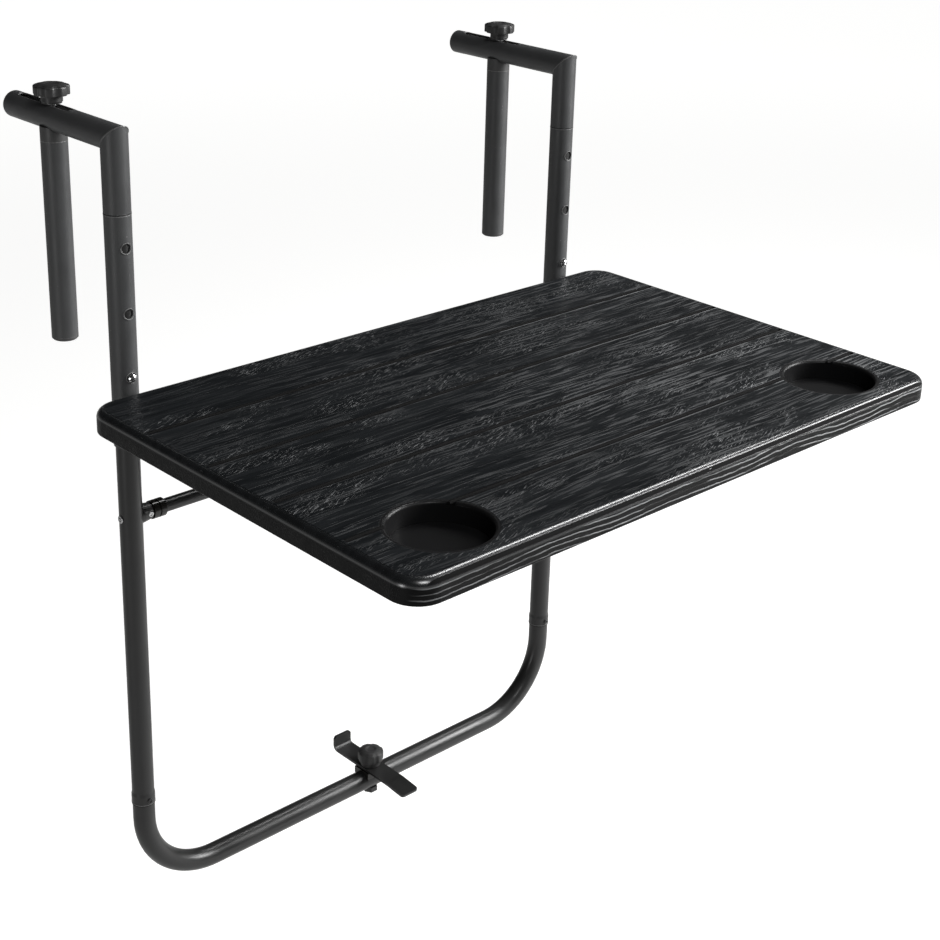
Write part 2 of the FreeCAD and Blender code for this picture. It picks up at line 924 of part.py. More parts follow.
def bar_ferrule():
    """The grooved collar on the end of the support bar, running on the pivot bolt."""
    base = Vec(-bar_end_x, post_y, -pivot_drop)
    socket = bar_r + push_fit
    groove = ferrule_radius - ferrule_groove_depth
    middle = ferrule_length / 2
    profile = [
        (pivot_bolt_radius + run_fit, 0),
        (ferrule_radius, 0),
        (ferrule_radius, middle - ferrule_groove / 2),
        (groove, middle - ferrule_groove / 2),
        (groove, middle + ferrule_groove / 2),
        (ferrule_radius, middle + ferrule_groove / 2),
        (ferrule_radius, ferrule_length),
        (socket, ferrule_length),
        (socket, ferrule_bottom),
        (pivot_bolt_radius + run_fit, ferrule_bottom),
    ]
    return spun(profile, base, X_AXIS)


def pivot_bolt():
    """The socket-head bolt from the leg's outer face into the ferrule."""
    seat = at_left(post_y, -pivot_drop, -inner_r)
    tip = Vec(-bar_end_x + ferrule_bottom + pivot_bolt_radius, post_y, -pivot_drop)
    head_top = seat - Vec(pivot_head_height, 0, 0)
    bolt = pan_screw(
        seat, X_AXIS, pivot_bolt_radius, tip.x - seat.x, pivot_head_radius, pivot_head_height,
    )
    return bolt.cut(hexagon(pivot_socket_flats, pivot_socket_depth, head_top, X_AXIS))


# Clips under the board


def clip_middle():
    """Centre of the left clip's round seat, on the support bar's axis."""
    return Vec(-clip_x, bar_seat_y, bar_seat_z)


def clip_screw_places():
    """The screw centres of the left clip, in front of and behind the bar."""
    reach = bar_r + moving_gap + clip_wall + clip_flange / 2
    return [Vec(-clip_x, bar_seat_y + side * reach, underside_z) for side in (-1, 1)]


def bar_clip():
    """A snap clip: a round seat open downwards between two screwed flanges."""
    middle = clip_middle()
    seat = bar_r + moving_gap
    outer = seat + clip_wall
    half = Vec(clip_width / 2, 0, 0)
    ring = cylinder(outer, middle - half, middle + half)
    flange_y = outer + clip_flange
    x_range = (middle.x - clip_width / 2, middle.x + clip_width / 2)
    y_range = (middle.y - flange_y, middle.y + flange_y)
    flange = block(x_range, y_range, (underside_z - clip_wall, underside_z))
    spread = math.radians(clip_mouth_angle / 2)
    reach = 2 * outer
    mouth = [
        middle - half * 2,
        middle - half * 2 + Vec(0, reach * math.sin(spread), -reach * math.cos(spread)),
        middle - half * 2 + Vec(0, -reach * math.sin(spread), -reach * math.cos(spread)),
    ]
    above = block(x_range, y_range, (underside_z, underside_z + 2 * outer))
    clip = ring.fuse(flange).cut(cylinder(seat, middle - half, middle + half))
    clip = clip.cut(prism(mouth, half * 4)).cut(above)
    for place in clip_screw_places():
        low = place - Vec(0, 0, clip_wall)
        clip = clip.cut(cylinder(board_screw_radius + screw_gap, low, place))
    return clip.removeSplitter()


# Lower hook


def bow_point(z):
    """A point on the lower hook's bolt axis."""
    return Vec(hook_offset, post_y, z)


def hook_saddle():
    """The plastic seat on the bow, with a flat top for the hook plate."""
    half = hook_saddle_length / 2
    width = hook_plate_width / 2
    low = -bow_drop + inner_r - hook_saddle_wrap
    x_range = (hook_offset - half, hook_offset + half)
    seat = block(x_range, (post_y - width, post_y + width), (low, clamp_top_z))
    along = Vec(half, 0, 0)
    tube = cylinder(inner_r + push_fit, bow_point(-bow_drop) - along, bow_point(-bow_drop) + along)
    bore = cylinder(stud_radius + screw_gap, bow_point(low), bow_point(clamp_top_z))
    return seat.cut(tube).cut(bore)


def hook_bolt():
    """The hexagon bolt up through the bow, the seat and the plate into the knob."""
    head_top = -bow_drop - inner_r
    top = plate_top_z + moving_gap + hook_bolt_engage
    shank = cylinder(stud_radius, bow_point(head_top), bow_point(top))
    head = hexagon(hook_bolt_flats, hook_bolt_head, bow_point(head_top - hook_bolt_head))
    return shank.fuse(head)


def hook_plate():
    """The swivelling strip: turned up behind, slightly dipped in front, with round corners."""
    low = clamp_top_z + moving_gap
    dip = math.radians(hook_tip_angle)
    tip_start = post_y - hook_front + hook_tip_length
    points = [
        Vec(0, post_y + hook_rear, low + hook_tab),
        Vec(0, post_y + hook_rear, low),
        Vec(0, tip_start, low),
        Vec(0, tip_start - hook_tip_length * math.cos(dip), low - hook_tip_length * math.sin(dip)),
    ]
    path = rounded_path(points, hook_bend + hook_plate_thickness)
    strip = bent_strip(path, hook_plate_thickness, hook_plate_width, hook_offset)
    strip = strip.makeFillet(hook_corner, hook_corner_edges(strip))
    return strip.cut(cylinder(stud_radius + stud_gap, bow_point(low), bow_point(plate_top_z)))


def hook_corner_edges(strip):
    """The four short edges across the strip's thickness at its two ends."""
    box = strip.BoundBox
    found = []
    for edge in strip.Edges:
        middle = edge.BoundBox.Center
        on_side = min(abs(middle.x - box.XMin), abs(middle.x - box.XMax)) < 1e-6
        at_tip = abs(middle.y - box.YMin) < hook_plate_thickness
        at_tab = abs(middle.z - box.ZMax) < 1e-6
        short = abs(edge.Length - hook_plate_thickness) < 1e-3
        if on_side and short and (at_tip or at_tab):
            found.append(edge)
    return found


def hook_knob():
    """The knob that clamps the hook plate."""
    rim = hook_knob_height - hook_knob_hub - knob_dome - knob_taper
    return star_knob(
        bow_point(plate_top_z + moving_gap), hook_knob_radius, rim, knob_dome, knob_taper,
        hook_plate_width / 2 - moving_gap, hook_knob_hub,
        stud_radius + run_fit, hook_bolt_engage + screw_gap,
    )


def build():
    """Make every piece and write its file."""
    os.makedirs("parts", exist_ok=True)

    export_pair("hook_arm", hook_arm())
    export_pair("riser", riser())
    export_pair("inner_tube", inner_tube())
    export_pair("arm_cap", arm_cap())
    button, button_back = snap_button()
    export_pair("snap_button", button)
    export_pair("button_spring", button_spring(button_back))

    export_pair("rear_tube", rear_tube())
    export_pair("rear_saddle", rear_saddle())
    export_pair("rear_nut", rear_nut())
    export_pair("rear_foot", rear_foot())
    export_pair("rear_knob", rear_knob())
    export_pair("knob_stud", knob_stud())
    export_pair("knob_washer", knob_washer())

    export_pair("post", post())
    export_pair("leg", leg())
    export("lower_bow", lower_bow())
    export_both("leg_screws", leg_screw())
    export_both("bow_screws", bow_screw())

    export_pair("hinge_arm", hinge_arm())
    export_pair("hinge_leaf", hinge_leaf())
    export_both("hinge_pins", hinge_pin())
    leaf_screws = board_screws(leaf_screw_places(), leaf_thickness)
    export_both("leaf_screws", Part.makeCompound(leaf_screws))

    export("table_board", table_board())

    export("support_bar", support_bar())
    export_pair("bar_ferrule", bar_ferrule())
    export_pair("pivot_boss", pivot_boss())
    export_both("pivot_bolts", pivot_bolt())
    export_both("boss_screws", boss_screw())
    export_pair("bar_clip", bar_clip())
    clip_screws = board_screws(clip_screw_places(), clip_wall)
    export_both("clip_screws", Part.makeCompound(clip_screws))

    export("hook_saddle", hook_saddle())
    export("hook_bolt", hook_bolt())
    export("hook_plate", hook_plate())
    export("hook_knob", hook_knob())


build()
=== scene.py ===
# %% [markdown]
# A folding bar table that hangs by two hook arms, finished in Blender. The
# rigid model comes in first and stays where it is. Everything after it adds
# what a solid model lacks: paint, moulded grain, welds, rolled hole edges and
# screw recesses. The tools used all through are numpy grids for shapes and
# node trees for finishes.

# %% Load the rigid model
import math

import bpy
import numpy as np
from mathutils import Matrix, Vector


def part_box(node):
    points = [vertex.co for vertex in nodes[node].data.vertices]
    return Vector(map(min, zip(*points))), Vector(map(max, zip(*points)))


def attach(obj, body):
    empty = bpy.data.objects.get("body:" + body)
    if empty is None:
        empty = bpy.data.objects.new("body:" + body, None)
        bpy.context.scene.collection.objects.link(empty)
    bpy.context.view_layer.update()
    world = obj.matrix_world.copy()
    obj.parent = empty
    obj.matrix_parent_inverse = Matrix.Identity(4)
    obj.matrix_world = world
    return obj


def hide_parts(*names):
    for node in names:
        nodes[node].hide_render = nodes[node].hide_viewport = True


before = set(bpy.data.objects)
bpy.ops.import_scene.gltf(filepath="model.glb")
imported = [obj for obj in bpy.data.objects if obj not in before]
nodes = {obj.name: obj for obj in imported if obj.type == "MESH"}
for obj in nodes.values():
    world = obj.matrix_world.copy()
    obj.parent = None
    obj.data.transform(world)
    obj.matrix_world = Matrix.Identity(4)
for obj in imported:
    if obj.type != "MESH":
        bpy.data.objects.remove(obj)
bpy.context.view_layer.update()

# %% [markdown]
# The camera stands in front of the table and to its left, a little above the
# arms. Its frame is lifted with a small vertical shift, as a photographer
# does to keep upright lines nearly parallel. The three angles give the
# heading, the downward tilt and a slight roll, and the matrix is built from
# its three unit directions, so that nothing has to be aimed.

# %% Camera
def camera_directions(heading, tilt, roll):
    """Right, up and forward unit directions from heading, tilt and roll in degrees."""
    a, e, r = np.radians([heading, tilt, roll])
    ahead = np.array([-np.sin(a) * np.cos(e), np.cos(a) * np.cos(e), -np.sin(e)])
    level = np.array([np.cos(a), np.sin(a), 0.0])
    over = np.cross(level, ahead)
    right = np.cos(r) * level + np.sin(r) * over
    up = -np.sin(r) * level + np.cos(r) * over
    return right, up, ahead


picture_width, focal_length = 940, 1740.78  # both in pixels
camera_place = (-0.96559, -1.17024, 0.33631)
right, up, ahead = camera_directions(heading=-43.60, tilt=20.56, roll=1.70)
camera_data = bpy.data.cameras.new("photo_camera")
camera_data.sensor_width = 36.0
camera_data.lens = camera_data.sensor_width * focal_length / picture_width
camera_data.shift_y = -0.1202
camera_data.clip_end = 60.0
camera = bpy.data.objects.new("photo_camera", camera_data)
bpy.context.scene.collection.objects.link(camera)
turn = Matrix([list(right), list(up), list(-ahead)]).transposed()
camera.matrix_world = Matrix.Translation(camera_place) @ turn.to_4x4()
bpy.context.scene.camera = camera
bpy.context.scene.view_settings.view_transform = "Standard"
print("camera at", [round(v, 3) for v in camera.location])

# %% [markdown]
# Black paint and black plastic show almost nothing but what they reflect, so
# the light matters more than the colours. A tall softbox stands low to the
# front and right: its reflection is the white line along the board's rounded
# front edge, and its raking light brings out the grain. A small one beside
# it carries that line on to the board's right end. A long one hangs above
# and behind for the thin line on the tubes. A broad one in front and a low
# one on the left lift the near sides, a faint strip grazes the top, and a
# dim world fills the rest.

# %% Lamps
def softbox(name, place, target, size, power):
    """A rectangular area lamp at place that faces target; size is its width and height."""
    lamp = bpy.data.lights.new(name, "AREA")
    lamp.shape = "RECTANGLE"
    lamp.size, lamp.size_y = size
    lamp.energy = power
    body = bpy.data.objects.new(name, lamp)
    bpy.context.scene.collection.objects.link(body)
    aim = Vector(target) - Vector(place)
    body.matrix_world = Matrix.Translation(place) @ aim.to_track_quat("-Z", "Y").to_matrix().to_4x4()


table_middle = (0.0, -0.15, -0.3)
right_end_of_edge = (0.3, -0.42, -0.2)
frame_middle = (0.0, 0.0, -0.45)
board_middle = (0.0, -0.2, -0.2)
softbox("low_right_softbox", (1.75, -1.45, 0.72), table_middle, size=(0.6, 1.65), power=84)
softbox("edge_softbox", (1.95, -0.85, 0.85), right_end_of_edge, size=(0.3, 0.8), power=14)
softbox("high_right_softbox", (1.75, 0.25, 2.2), table_middle, size=(0.3, 1.4), power=24)
softbox("front_softbox", (-0.75, -2.3, 2.0), table_middle, size=(1.1, 1.0), power=26)
softbox("low_left_softbox", (-2.2, -0.45, -0.40), frame_middle, size=(0.3, 0.8), power=5)
softbox("grazing_strip", (2.3, 1.4, 0.12), board_middle, size=(0.9, 0.3), power=0.5)
print("lamps:", len(bpy.data.lights))

# %% [markdown]
# The world, the floor and every finish are trees of nodes. A few short tools
# build the nodes that come back again and again: each takes outputs or plain
# numbers, joins or sets them, and hands back the new output.

# %% Tools for node trees
def fill(tree, node, values):
    """Join outputs to a node's inputs, by name or place, and set the inputs that have a plain value."""
    for label, value in values.items():
        if isinstance(value, bpy.types.NodeSocket):
            tree.links.new(value, node.inputs[label])
        elif value is not None:
            node.inputs[label].default_value = value
    return node


def add_node(tree, kind, values, **settings):
    """One node of the given kind with its settings, and its inputs filled."""
    node = tree.nodes.new("ShaderNode" + kind)
    for label, value in settings.items():
        setattr(node, label, value)
    return fill(tree, node, values)


def axes(tree, vector):
    """X, Y and Z of a vector, by name."""
    return add_node(tree, "SeparateXYZ", {0: vector}).outputs


def math_node(tree, operation, a, b=None, clamp=False):
    """One Math node; a and b are outputs or numbers."""
    return add_node(tree, "Math", {0: a, 1: b}, operation=operation, use_clamp=clamp).outputs[0]


def vector_node(tree, operation, a, b=None, output="Vector"):
    """One Vector Math node; a and b are outputs or vectors, and some operations give a Value."""
    return add_node(tree, "VectorMath", {0: a, 1: b}, operation=operation).outputs[output]


def noise_node(tree, vector, scale, detail=2.0, roughness=0.5, distortion=0.0):
    """Value of a 3-D noise with the given scale along vector."""
    look = {"Detail": detail, "Roughness": roughness, "Distortion": distortion}
    return add_node(tree, "TexNoise", {"Vector": vector, "Scale": scale, **look}).outputs["Fac"]


def stretched_noise(tree, place, stretch, **look):
    """A noise with stretch cycles or so a metre along each axis of place."""
    return noise_node(tree, vector_node(tree, "MULTIPLY", place, stretch), 1.0, **look)


def ramp_node(tree, value, low, high, to_low=0.0, to_high=1.0):
    """A smooth step of value from low..high to to_low..to_high."""
    values = {"Value": value, "From Min": low, "From Max": high, "To Min": to_low, "To Max": to_high}
    return add_node(tree, "MapRange", values, interpolation_type="SMOOTHSTEP").outputs["Result"]


def product(tree, *factors):
    """The product of any number of outputs or numbers."""
    total = factors[0]
    for factor in factors[1:]:
        total = math_node(tree, "MULTIPLY", total, factor)
    return total


def opposite(tree, mask):
    """One minus a mask."""
    return math_node(tree, "SUBTRACT", 1.0, mask)


def largest(tree, *values):
    """The largest of several outputs or numbers."""
    total = values[0]
    for value in values[1:]:
        total = math_node(tree, "MAXIMUM", total, value)
    return total


def weighted_sum(tree, *pairs):
    """The sum of value times weight over (value, weight) pairs."""
    total = math_node(tree, "MULTIPLY", *pairs[0])
    for value, weight in pairs[1:]:
        total = math_node(tree, "ADD", total, math_node(tree, "MULTIPLY", value, weight))
    return total


def mix_shaders(tree, mask, first, second):
    """The first shader where mask is 0 and the second where it is 1."""
    return add_node(tree, "MixShader", {0: mask, 1: first, 2: second}).outputs[0]


print("node tools ready")

# %% [markdown]
# The floor is a plain pale plane one metre below the arms. It is drawn almost
# white to the camera, while its diffuse part still receives the soft shadow.
# Lamps fade with distance, so the added white grows with distance too. The
# world is white to the camera and dim as a light. Mirrored rays see both of
# them too, but much dimmer: black plastic reflects a white surround as a grey
# veil, and the real board shows none.

# %% World and floor
def rays(tree, *kinds):
    """One where the ray is of any of these kinds."""
    path = tree.nodes.new("ShaderNodeLightPath")
    return largest(tree, *(path.outputs[kind] for kind in kinds))


def background(tree, strength):
    """A white background of the given strength."""
    return add_node(tree, "Background", {"Strength": strength}).outputs[0]


def world_light(strength, horizon, overhead):
    """White to the camera, a pale horizon under a dim sky in reflections, and dim as a light."""
    world = bpy.data.worlds.new("studio_world")
    bpy.context.scene.world = world
    world.use_nodes = True
    tree = world.node_tree
    tree.nodes.clear()
    direction = axes(tree, tree.nodes.new("ShaderNodeTexCoord").outputs["Generated"])
    haze_top = 0.16
    mirrored = ramp_node(tree, direction["Z"], low=0.0, high=haze_top, to_low=horizon, to_high=overhead)
    shine = rays(tree, "Is Glossy Ray", "Is Transmission Ray")
    unseen = mix_shaders(tree, shine, background(tree, strength), background(tree, mirrored))
    light = mix_shaders(tree, rays(tree, "Is Camera Ray"), unseen, background(tree, 1.0))
    add_node(tree, "OutputWorld", {"Surface": light})


def floor_plane(height, reach):
    """One large square at height, reach metres to each side."""
    corners = np.array([(-1, -1), (1, -1), (1, 1), (-1, 1)], float) * reach
    points = np.column_stack([corners, np.full(4, height)])
    mesh = bpy.data.meshes.new("studio_floor")
    mesh.from_pydata(points.tolist(), [], [(0, 1, 2, 3)])
    floor = bpy.data.objects.new("studio_floor", mesh)
    bpy.context.scene.collection.objects.link(floor)
    return floor


def floor_material(near, far, mirrored):
    """Pale matte floor: camera rays see a white that grows from near to far, mirrored rays a share of it."""
    paint = bpy.data.materials.new("pale_floor")
    paint.use_nodes = True
    tree = paint.node_tree
    where = tree.nodes.new("ShaderNodeTexCoord").outputs["Object"]
    fade_start, fade_end = 0.8, 6.0
    distance = vector_node(tree, "LENGTH", where, output="Value")
    fade = ramp_node(tree, distance, low=fade_start, high=fade_end, to_low=near, to_high=far)
    shine = product(tree, rays(tree, "Is Glossy Ray", "Is Transmission Ray"), mirrored)
    share = math_node(tree, "ADD", shine, rays(tree, "Is Camera Ray"))
    fill(tree, tree.nodes["Principled BSDF"], {
        "Base Color": (0.62, 0.62, 0.615, 1),
        "Roughness": 0.95,
        "Specular IOR Level": 0.1,
        "Emission Color": (1, 1, 0.995, 1),
        "Emission Strength": product(tree, share, fade),
    })
    return paint


world_light(strength=0.10, horizon=0.2, overhead=0.02)
floor = floor_plane(height=-1.0, reach=30.0)
floor.data.materials.append(floor_material(near=0.62, far=0.94, mirrored=0.25))
print("floor at", floor.data.vertices[0].co.z)

# %% [markdown]
# Several finishes share the same small effects, so each effect is a node
# group: built once, given named inputs, and placed in every material that
# needs it. A group only hands out masks, values and heights. The shader
# itself stays in the material.
#
# Powder coat is a plastic powder melted onto the steel. It is never glassy:
# close up it has a fine orange-peel skin with tiny pits, and here and there
# a speck that catches the light, painted into the colour as a pale fleck: a
# painted glint. A noise of half a millimetre to one gives the skin, and a
# wider one makes the tone drift a little along the tube.

# %% Group: skin of a coating
def start_group(name, inputs, outputs):
    """An empty shader group with float inputs {label: value} and float outputs."""
    tree = bpy.data.node_groups.new(name, "ShaderNodeTree")
    for label, value in inputs.items():
        socket = tree.interface.new_socket(label, in_out="INPUT", socket_type="NodeSocketFloat")
        socket.default_value = value
    for label in outputs:
        tree.interface.new_socket(label, in_out="OUTPUT", socket_type="NodeSocketFloat")
    return tree, tree.nodes.new("NodeGroupInput"), tree.nodes.new("NodeGroupOutput")


def cell_distance(tree, where, scale):
    """Distance to the middle of the nearest cell of a Voronoi pattern."""
    return add_node(tree, "TexVoronoi", {"Vector": where, "Scale": scale}).outputs["Distance"]


def coating_skin_group():
    """Height of a fine skin, a slow drift of tone and sparse specks that mark painted glints, from object
    coordinates in metres.
    """
    tree, given, out = start_group(
        "coating_skin", {"Grain Size": 0.0004, "Drift Size": 0.03}, ["Height", "Drift", "Specks"]
    )
    where = tree.nodes.new("ShaderNodeTexCoord").outputs["Object"]
    fine = math_node(tree, "DIVIDE", 1.0, given.outputs["Grain Size"])
    slow = math_node(tree, "DIVIDE", 1.0, given.outputs["Drift Size"])
    skin = noise_node(tree, where, fine, roughness=0.6)
    drift = noise_node(tree, where, slow, roughness=0.55)
    pit_share, speck_share = 0.45, 0.16
    pits = cell_distance(tree, where, product(tree, fine, pit_share))
    dots = cell_distance(tree, where, product(tree, fine, speck_share))
    pit_depth = ramp_node(tree, pits, low=0.05, high=0.35)
    dot = ramp_node(tree, dots, low=0.12, high=0.05)
    height = weighted_sum(tree, (skin, 0.7), (pit_depth, 0.3))
    specks = product(tree, dot, ramp_node(tree, drift, low=0.5, high=0.62))
    fill(tree, out, {"Height": height, "Drift": drift, "Specks": specks})
    return tree


coating_skin = coating_skin_group()
print("group:", coating_skin.name)

# %% [markdown]
# Edges of painted steel show wear first: the coat is thin there and rubs
# bright. The Bevel node gives a normal rounded over a small radius. Where it
# differs from the true normal there is an edge, and a noise breaks the edge
# up so that the wear isn't an even outline.

# %% Group: worn edges
def worn_edge_group():
    """Mask of edges: one minus the dot of the true and the rounded normal, broken up by noise."""
    tree, given, out = start_group("worn_edges", {"Amount": 0.5}, ["Mask"])
    where = tree.nodes.new("ShaderNodeTexCoord").outputs["Object"]
    true_normal = tree.nodes.new("ShaderNodeNewGeometry").outputs["Normal"]
    rounded = add_node(tree, "Bevel", {"Radius": 0.0009}, samples=4).outputs[0]
    alike = vector_node(tree, "DOT_PRODUCT", true_normal, rounded, output="Value")
    edge = ramp_node(tree, opposite(tree, alike), low=0.02, high=0.25)
    chips = noise_node(tree, where, 420.0, detail=3.0, roughness=0.6)
    broken = ramp_node(tree, chips, low=0.42, high=0.62)
    mask = math_node(tree, "MULTIPLY", product(tree, edge, broken), given.outputs["Amount"], clamp=True)
    fill(tree, out, {"Mask": mask})
    return tree


worn_edges = worn_edge_group()
print("group:", worn_edges.name)

# %% [markdown]
# A finish is then short to write. Each one is a Principled shader with its
# colour and roughness moved a little by the groups, and a Bump node for the
# skin. Numbers that never change over the surface are set on the shader.

# %% Tools for finishes
def place_group(tree, group, values):
    """A group placed in a material with its own values."""
    return add_node(tree, "Group", values, node_tree=group)


def mix_colours(tree, mask, low, high):
    """Colour low where mask is 0 and high where it is 1."""
    return add_node(tree, "Mix", {0: mask, 6: low, 7: high}, data_type="RGBA").outputs[2]


def grey(value, tint=(1.0, 1.0, 1.0)):
    """A linear grey with a slight tint, as an RGBA value."""
    return (value * tint[0], value * tint[1], value * tint[2], 1.0)


def bump_node(tree, height, distance):
    """Normal from a height in units of distance metres."""
    return add_node(tree, "Bump", {"Height": height, "Distance": distance}).outputs["Normal"]


def new_finish(name, metallic=0.0, ior=1.45):
    """An empty material with its tree and its Principled shader."""
    finish = bpy.data.materials.new(name)
    finish.use_nodes = True
    tree = finish.node_tree
    surface = fill(tree, tree.nodes["Principled BSDF"], {"Metallic": metallic, "IOR": ior})
    return finish, tree, surface


def coated_finish(name, tones, rough, grain, depth, worn=0.2, wear=0.35, specks=0.0):
    """Coated or moulded black surface.

    The tone drifts between the two tones and the roughness about rough.
    Edges wear to the grey worn, by the share wear. The skin has the given
    grain and depth in metres, and a few specks painted bright as glints, by
    the share specks.
    """
    finish, tree, surface = new_finish(name)
    skin = place_group(tree, coating_skin, {"Grain Size": grain, "Drift Size": 0.035})
    edges = place_group(tree, worn_edges, {"Amount": wear})
    drift = skin.outputs["Drift"]
    body = mix_colours(tree, drift, *tones)
    if specks:
        # Painted glints: the specks lighten the base colour where the coat would catch the light.
        glint_grey = 0.3
        painted_glints = math_node(tree, "MULTIPLY", skin.outputs["Specks"], specks)
        body = mix_colours(tree, painted_glints, body, grey(glint_grey))
    colour = mix_colours(tree, edges.outputs["Mask"], body, grey(worn))
    spread = ramp_node(tree, drift, low=0.3, high=0.7, to_low=rough - 0.05, to_high=rough + 0.06)
    fill(tree, surface, {"Base Color": colour, "Roughness": spread})
    if depth:
        fill(tree, surface, {"Normal": bump_node(tree, skin.outputs["Height"], depth)})
    return finish


def metal_finish(name, tones, rough, grain, depth):
    """Bare or plated metal: bright base, fine brushed skin and drifting roughness."""
    finish, tree, surface = new_finish(name, metallic=1.0)
    skin = place_group(tree, coating_skin, {"Grain Size": grain, "Drift Size": 0.004})
    drift = skin.outputs["Drift"]
    colour = mix_colours(tree, drift, *tones)
    spread = ramp_node(tree, drift, low=0.3, high=0.7, to_low=rough - 0.07, to_high=rough + 0.1)
    normal = bump_node(tree, skin.outputs["Height"], depth)
    fill(tree, surface, {"Base Color": colour, "Roughness": spread, "Normal": normal})
    return finish


print("finish tools ready")

# %% [markdown]
# Two tables hold the values of each finish, by the name of its material slot.
# The weld, the two sides of a seam, the blackened screws and the glossy caps
# have no slot of their own and are given out one by one.

# %% Finishes of paint, plastic and metal
cool, cold_zinc, warm = (0.98, 1, 1.02), (1, 1, 1.02), (1.04, 1, 0.9)
coats = {
    "powder_coat_black": dict(
        tones=(grey(0.050, cool), grey(0.074, cool)),
        rough=0.43, grain=0.0009, depth=0.00016, worn=0.32, wear=0.55, specks=0.5,
    ),
    # weld_bead is lighter than the coat and wears heavily at its edges. It is used on the welds and on the
    # hole and slot lips, and it is partly worn coat and partly a painted highlight for their bright lines.
    "weld_bead": dict(
        tones=(grey(0.085), grey(0.125)),
        rough=0.34, grain=0.0009, depth=0.0002, worn=0.5, wear=0.9, specks=0.9,
    ),
    "satin_black_tube": dict(tones=(grey(0.018), grey(0.025)), rough=0.33, grain=0.0012, depth=0.0),
    # seam_shadow is a near-black ring of painted shade in each joint's gap. seam_lip_wear_and_sheen's light
    # grey is partly worn coat and partly a painted highlight.
    "seam_shadow": dict(tones=(grey(0.003), grey(0.004)), rough=0.7, grain=0.0006, depth=0.00002, wear=0.0),
    "seam_lip_wear_and_sheen": dict(
        tones=(grey(0.11), grey(0.17)), rough=0.35, grain=0.0009, depth=0.00008, worn=0.4, wear=0.6
    ),
    "knob_plastic": dict(
        tones=(grey(0.026), grey(0.036)), rough=0.42, grain=0.0005, depth=0.00006, worn=0.08
    ),
    "cap_plastic": dict(
        tones=(grey(0.050), grey(0.068)), rough=0.45, grain=0.0005, depth=0.00004, worn=0.12
    ),
    "glossy_cap": dict(
        tones=(grey(0.013, warm), grey(0.02, warm)), rough=0.2, grain=0.0006, depth=0.00002, worn=0.12
    ),
    "boss_plastic": dict(tones=(grey(0.02), grey(0.03)), rough=0.42, grain=0.0005, depth=0.00004),
    "bracket_black": dict(tones=(grey(0.014), grey(0.022)), rough=0.38, grain=0.0006, depth=0.00005),
    "black_screw": dict(
        tones=(grey(0.018), grey(0.03)), rough=0.33, grain=0.0005, depth=0.00002, worn=0.25, wear=0.5
    ),
}
metals = {
    "zinc_steel": dict(tones=(grey(0.42, cold_zinc), grey(0.62)), rough=0.3, grain=0.0004, depth=0.00002),
    "button_chrome": dict(tones=(grey(0.7), grey(0.85)), rough=0.16, grain=0.0006, depth=0.00001),
    "spring_steel": dict(tones=(grey(0.3), grey(0.42)), rough=0.3, grain=0.0005, depth=0.00002),
}
finishes = {name: coated_finish(name + "_skin", **values) for name, values in coats.items()}
finishes.update({name: metal_finish(name + "_skin", **values) for name, values in metals.items()})
print("finishes:", len(finishes))

# %% [markdown]
# The board is one moulding that imitates five planks of brushed wood. The
# grain runs along the board's length: lines about two millimetres apart,
# wider streaks, flame-like arches, and patches of short slanting strokes
# where the brush caught. Each plank has its own grain, so a random offset per
# plank moves the pattern. The raised lines and strokes are painted bright as
# highlights, the glints of the grain, most of all to the front and right,
# where the lamps' light falls. Between the planks runs a groove painted dark
# as shade, with a painted highlight along the lip in front of it. A picture
# of wood would blur close up, and noises stay sharp.

# %% Group: grain of the planks
plank_back = -0.0255
plank_width = 0.08

# how tightly each pattern is packed along X, Y and Z, per metre
sway_packing = (4.0, 14.0, 14.0)
line_packing = (24.0, 540.0, 540.0)
streak_packing = (7.0, 110.0, 110.0)
arch_packing = (1.6, 34.0, 34.0)
stroke_packing = (105.0, 900.0, 900.0)
patch_packing = (9.0, 24.0, 24.0)
calm_packing = (10.0, 26.0, 26.0)
stroke_slant = -22  # degrees off the plank's length


def swayed(tree, place):
    """The place pushed across the plank by a slow noise, so that the lines wander."""
    sideways, downward = 0.022, 0.010
    sway = math_node(tree, "SUBTRACT", stretched_noise(tree, place, sway_packing), 0.5)
    shifts = {"Y": product(tree, sway, sideways), "Z": product(tree, sway, downward)}
    return vector_node(tree, "ADD", place, add_node(tree, "CombineXYZ", shifts).outputs[0])


def grain_arches(tree, place):
    """Flame-like arches: a sine of the slanting distance, pushed about by a noise."""
    packed = vector_node(tree, "MULTIPLY", place, arch_packing)
    values = {"Vector": packed, "Scale": 1.0, "Distortion": 7.0, "Detail": 2.0, "Detail Scale": 0.7}
    return add_node(tree, "TexWave", values, bands_direction="DIAGONAL").outputs["Fac"]


def brush_strokes(tree, place):
    """Short strokes: a tight noise on a place turned by stroke_slant on the level."""
    values = {"Vector": place, "Angle": math.radians(stroke_slant)}
    slanted = add_node(tree, "VectorRotate", values, rotation_type="Z_AXIS").outputs[0]
    return stretched_noise(tree, slanted, stroke_packing, detail=3.0, roughness=0.7, distortion=0.2)


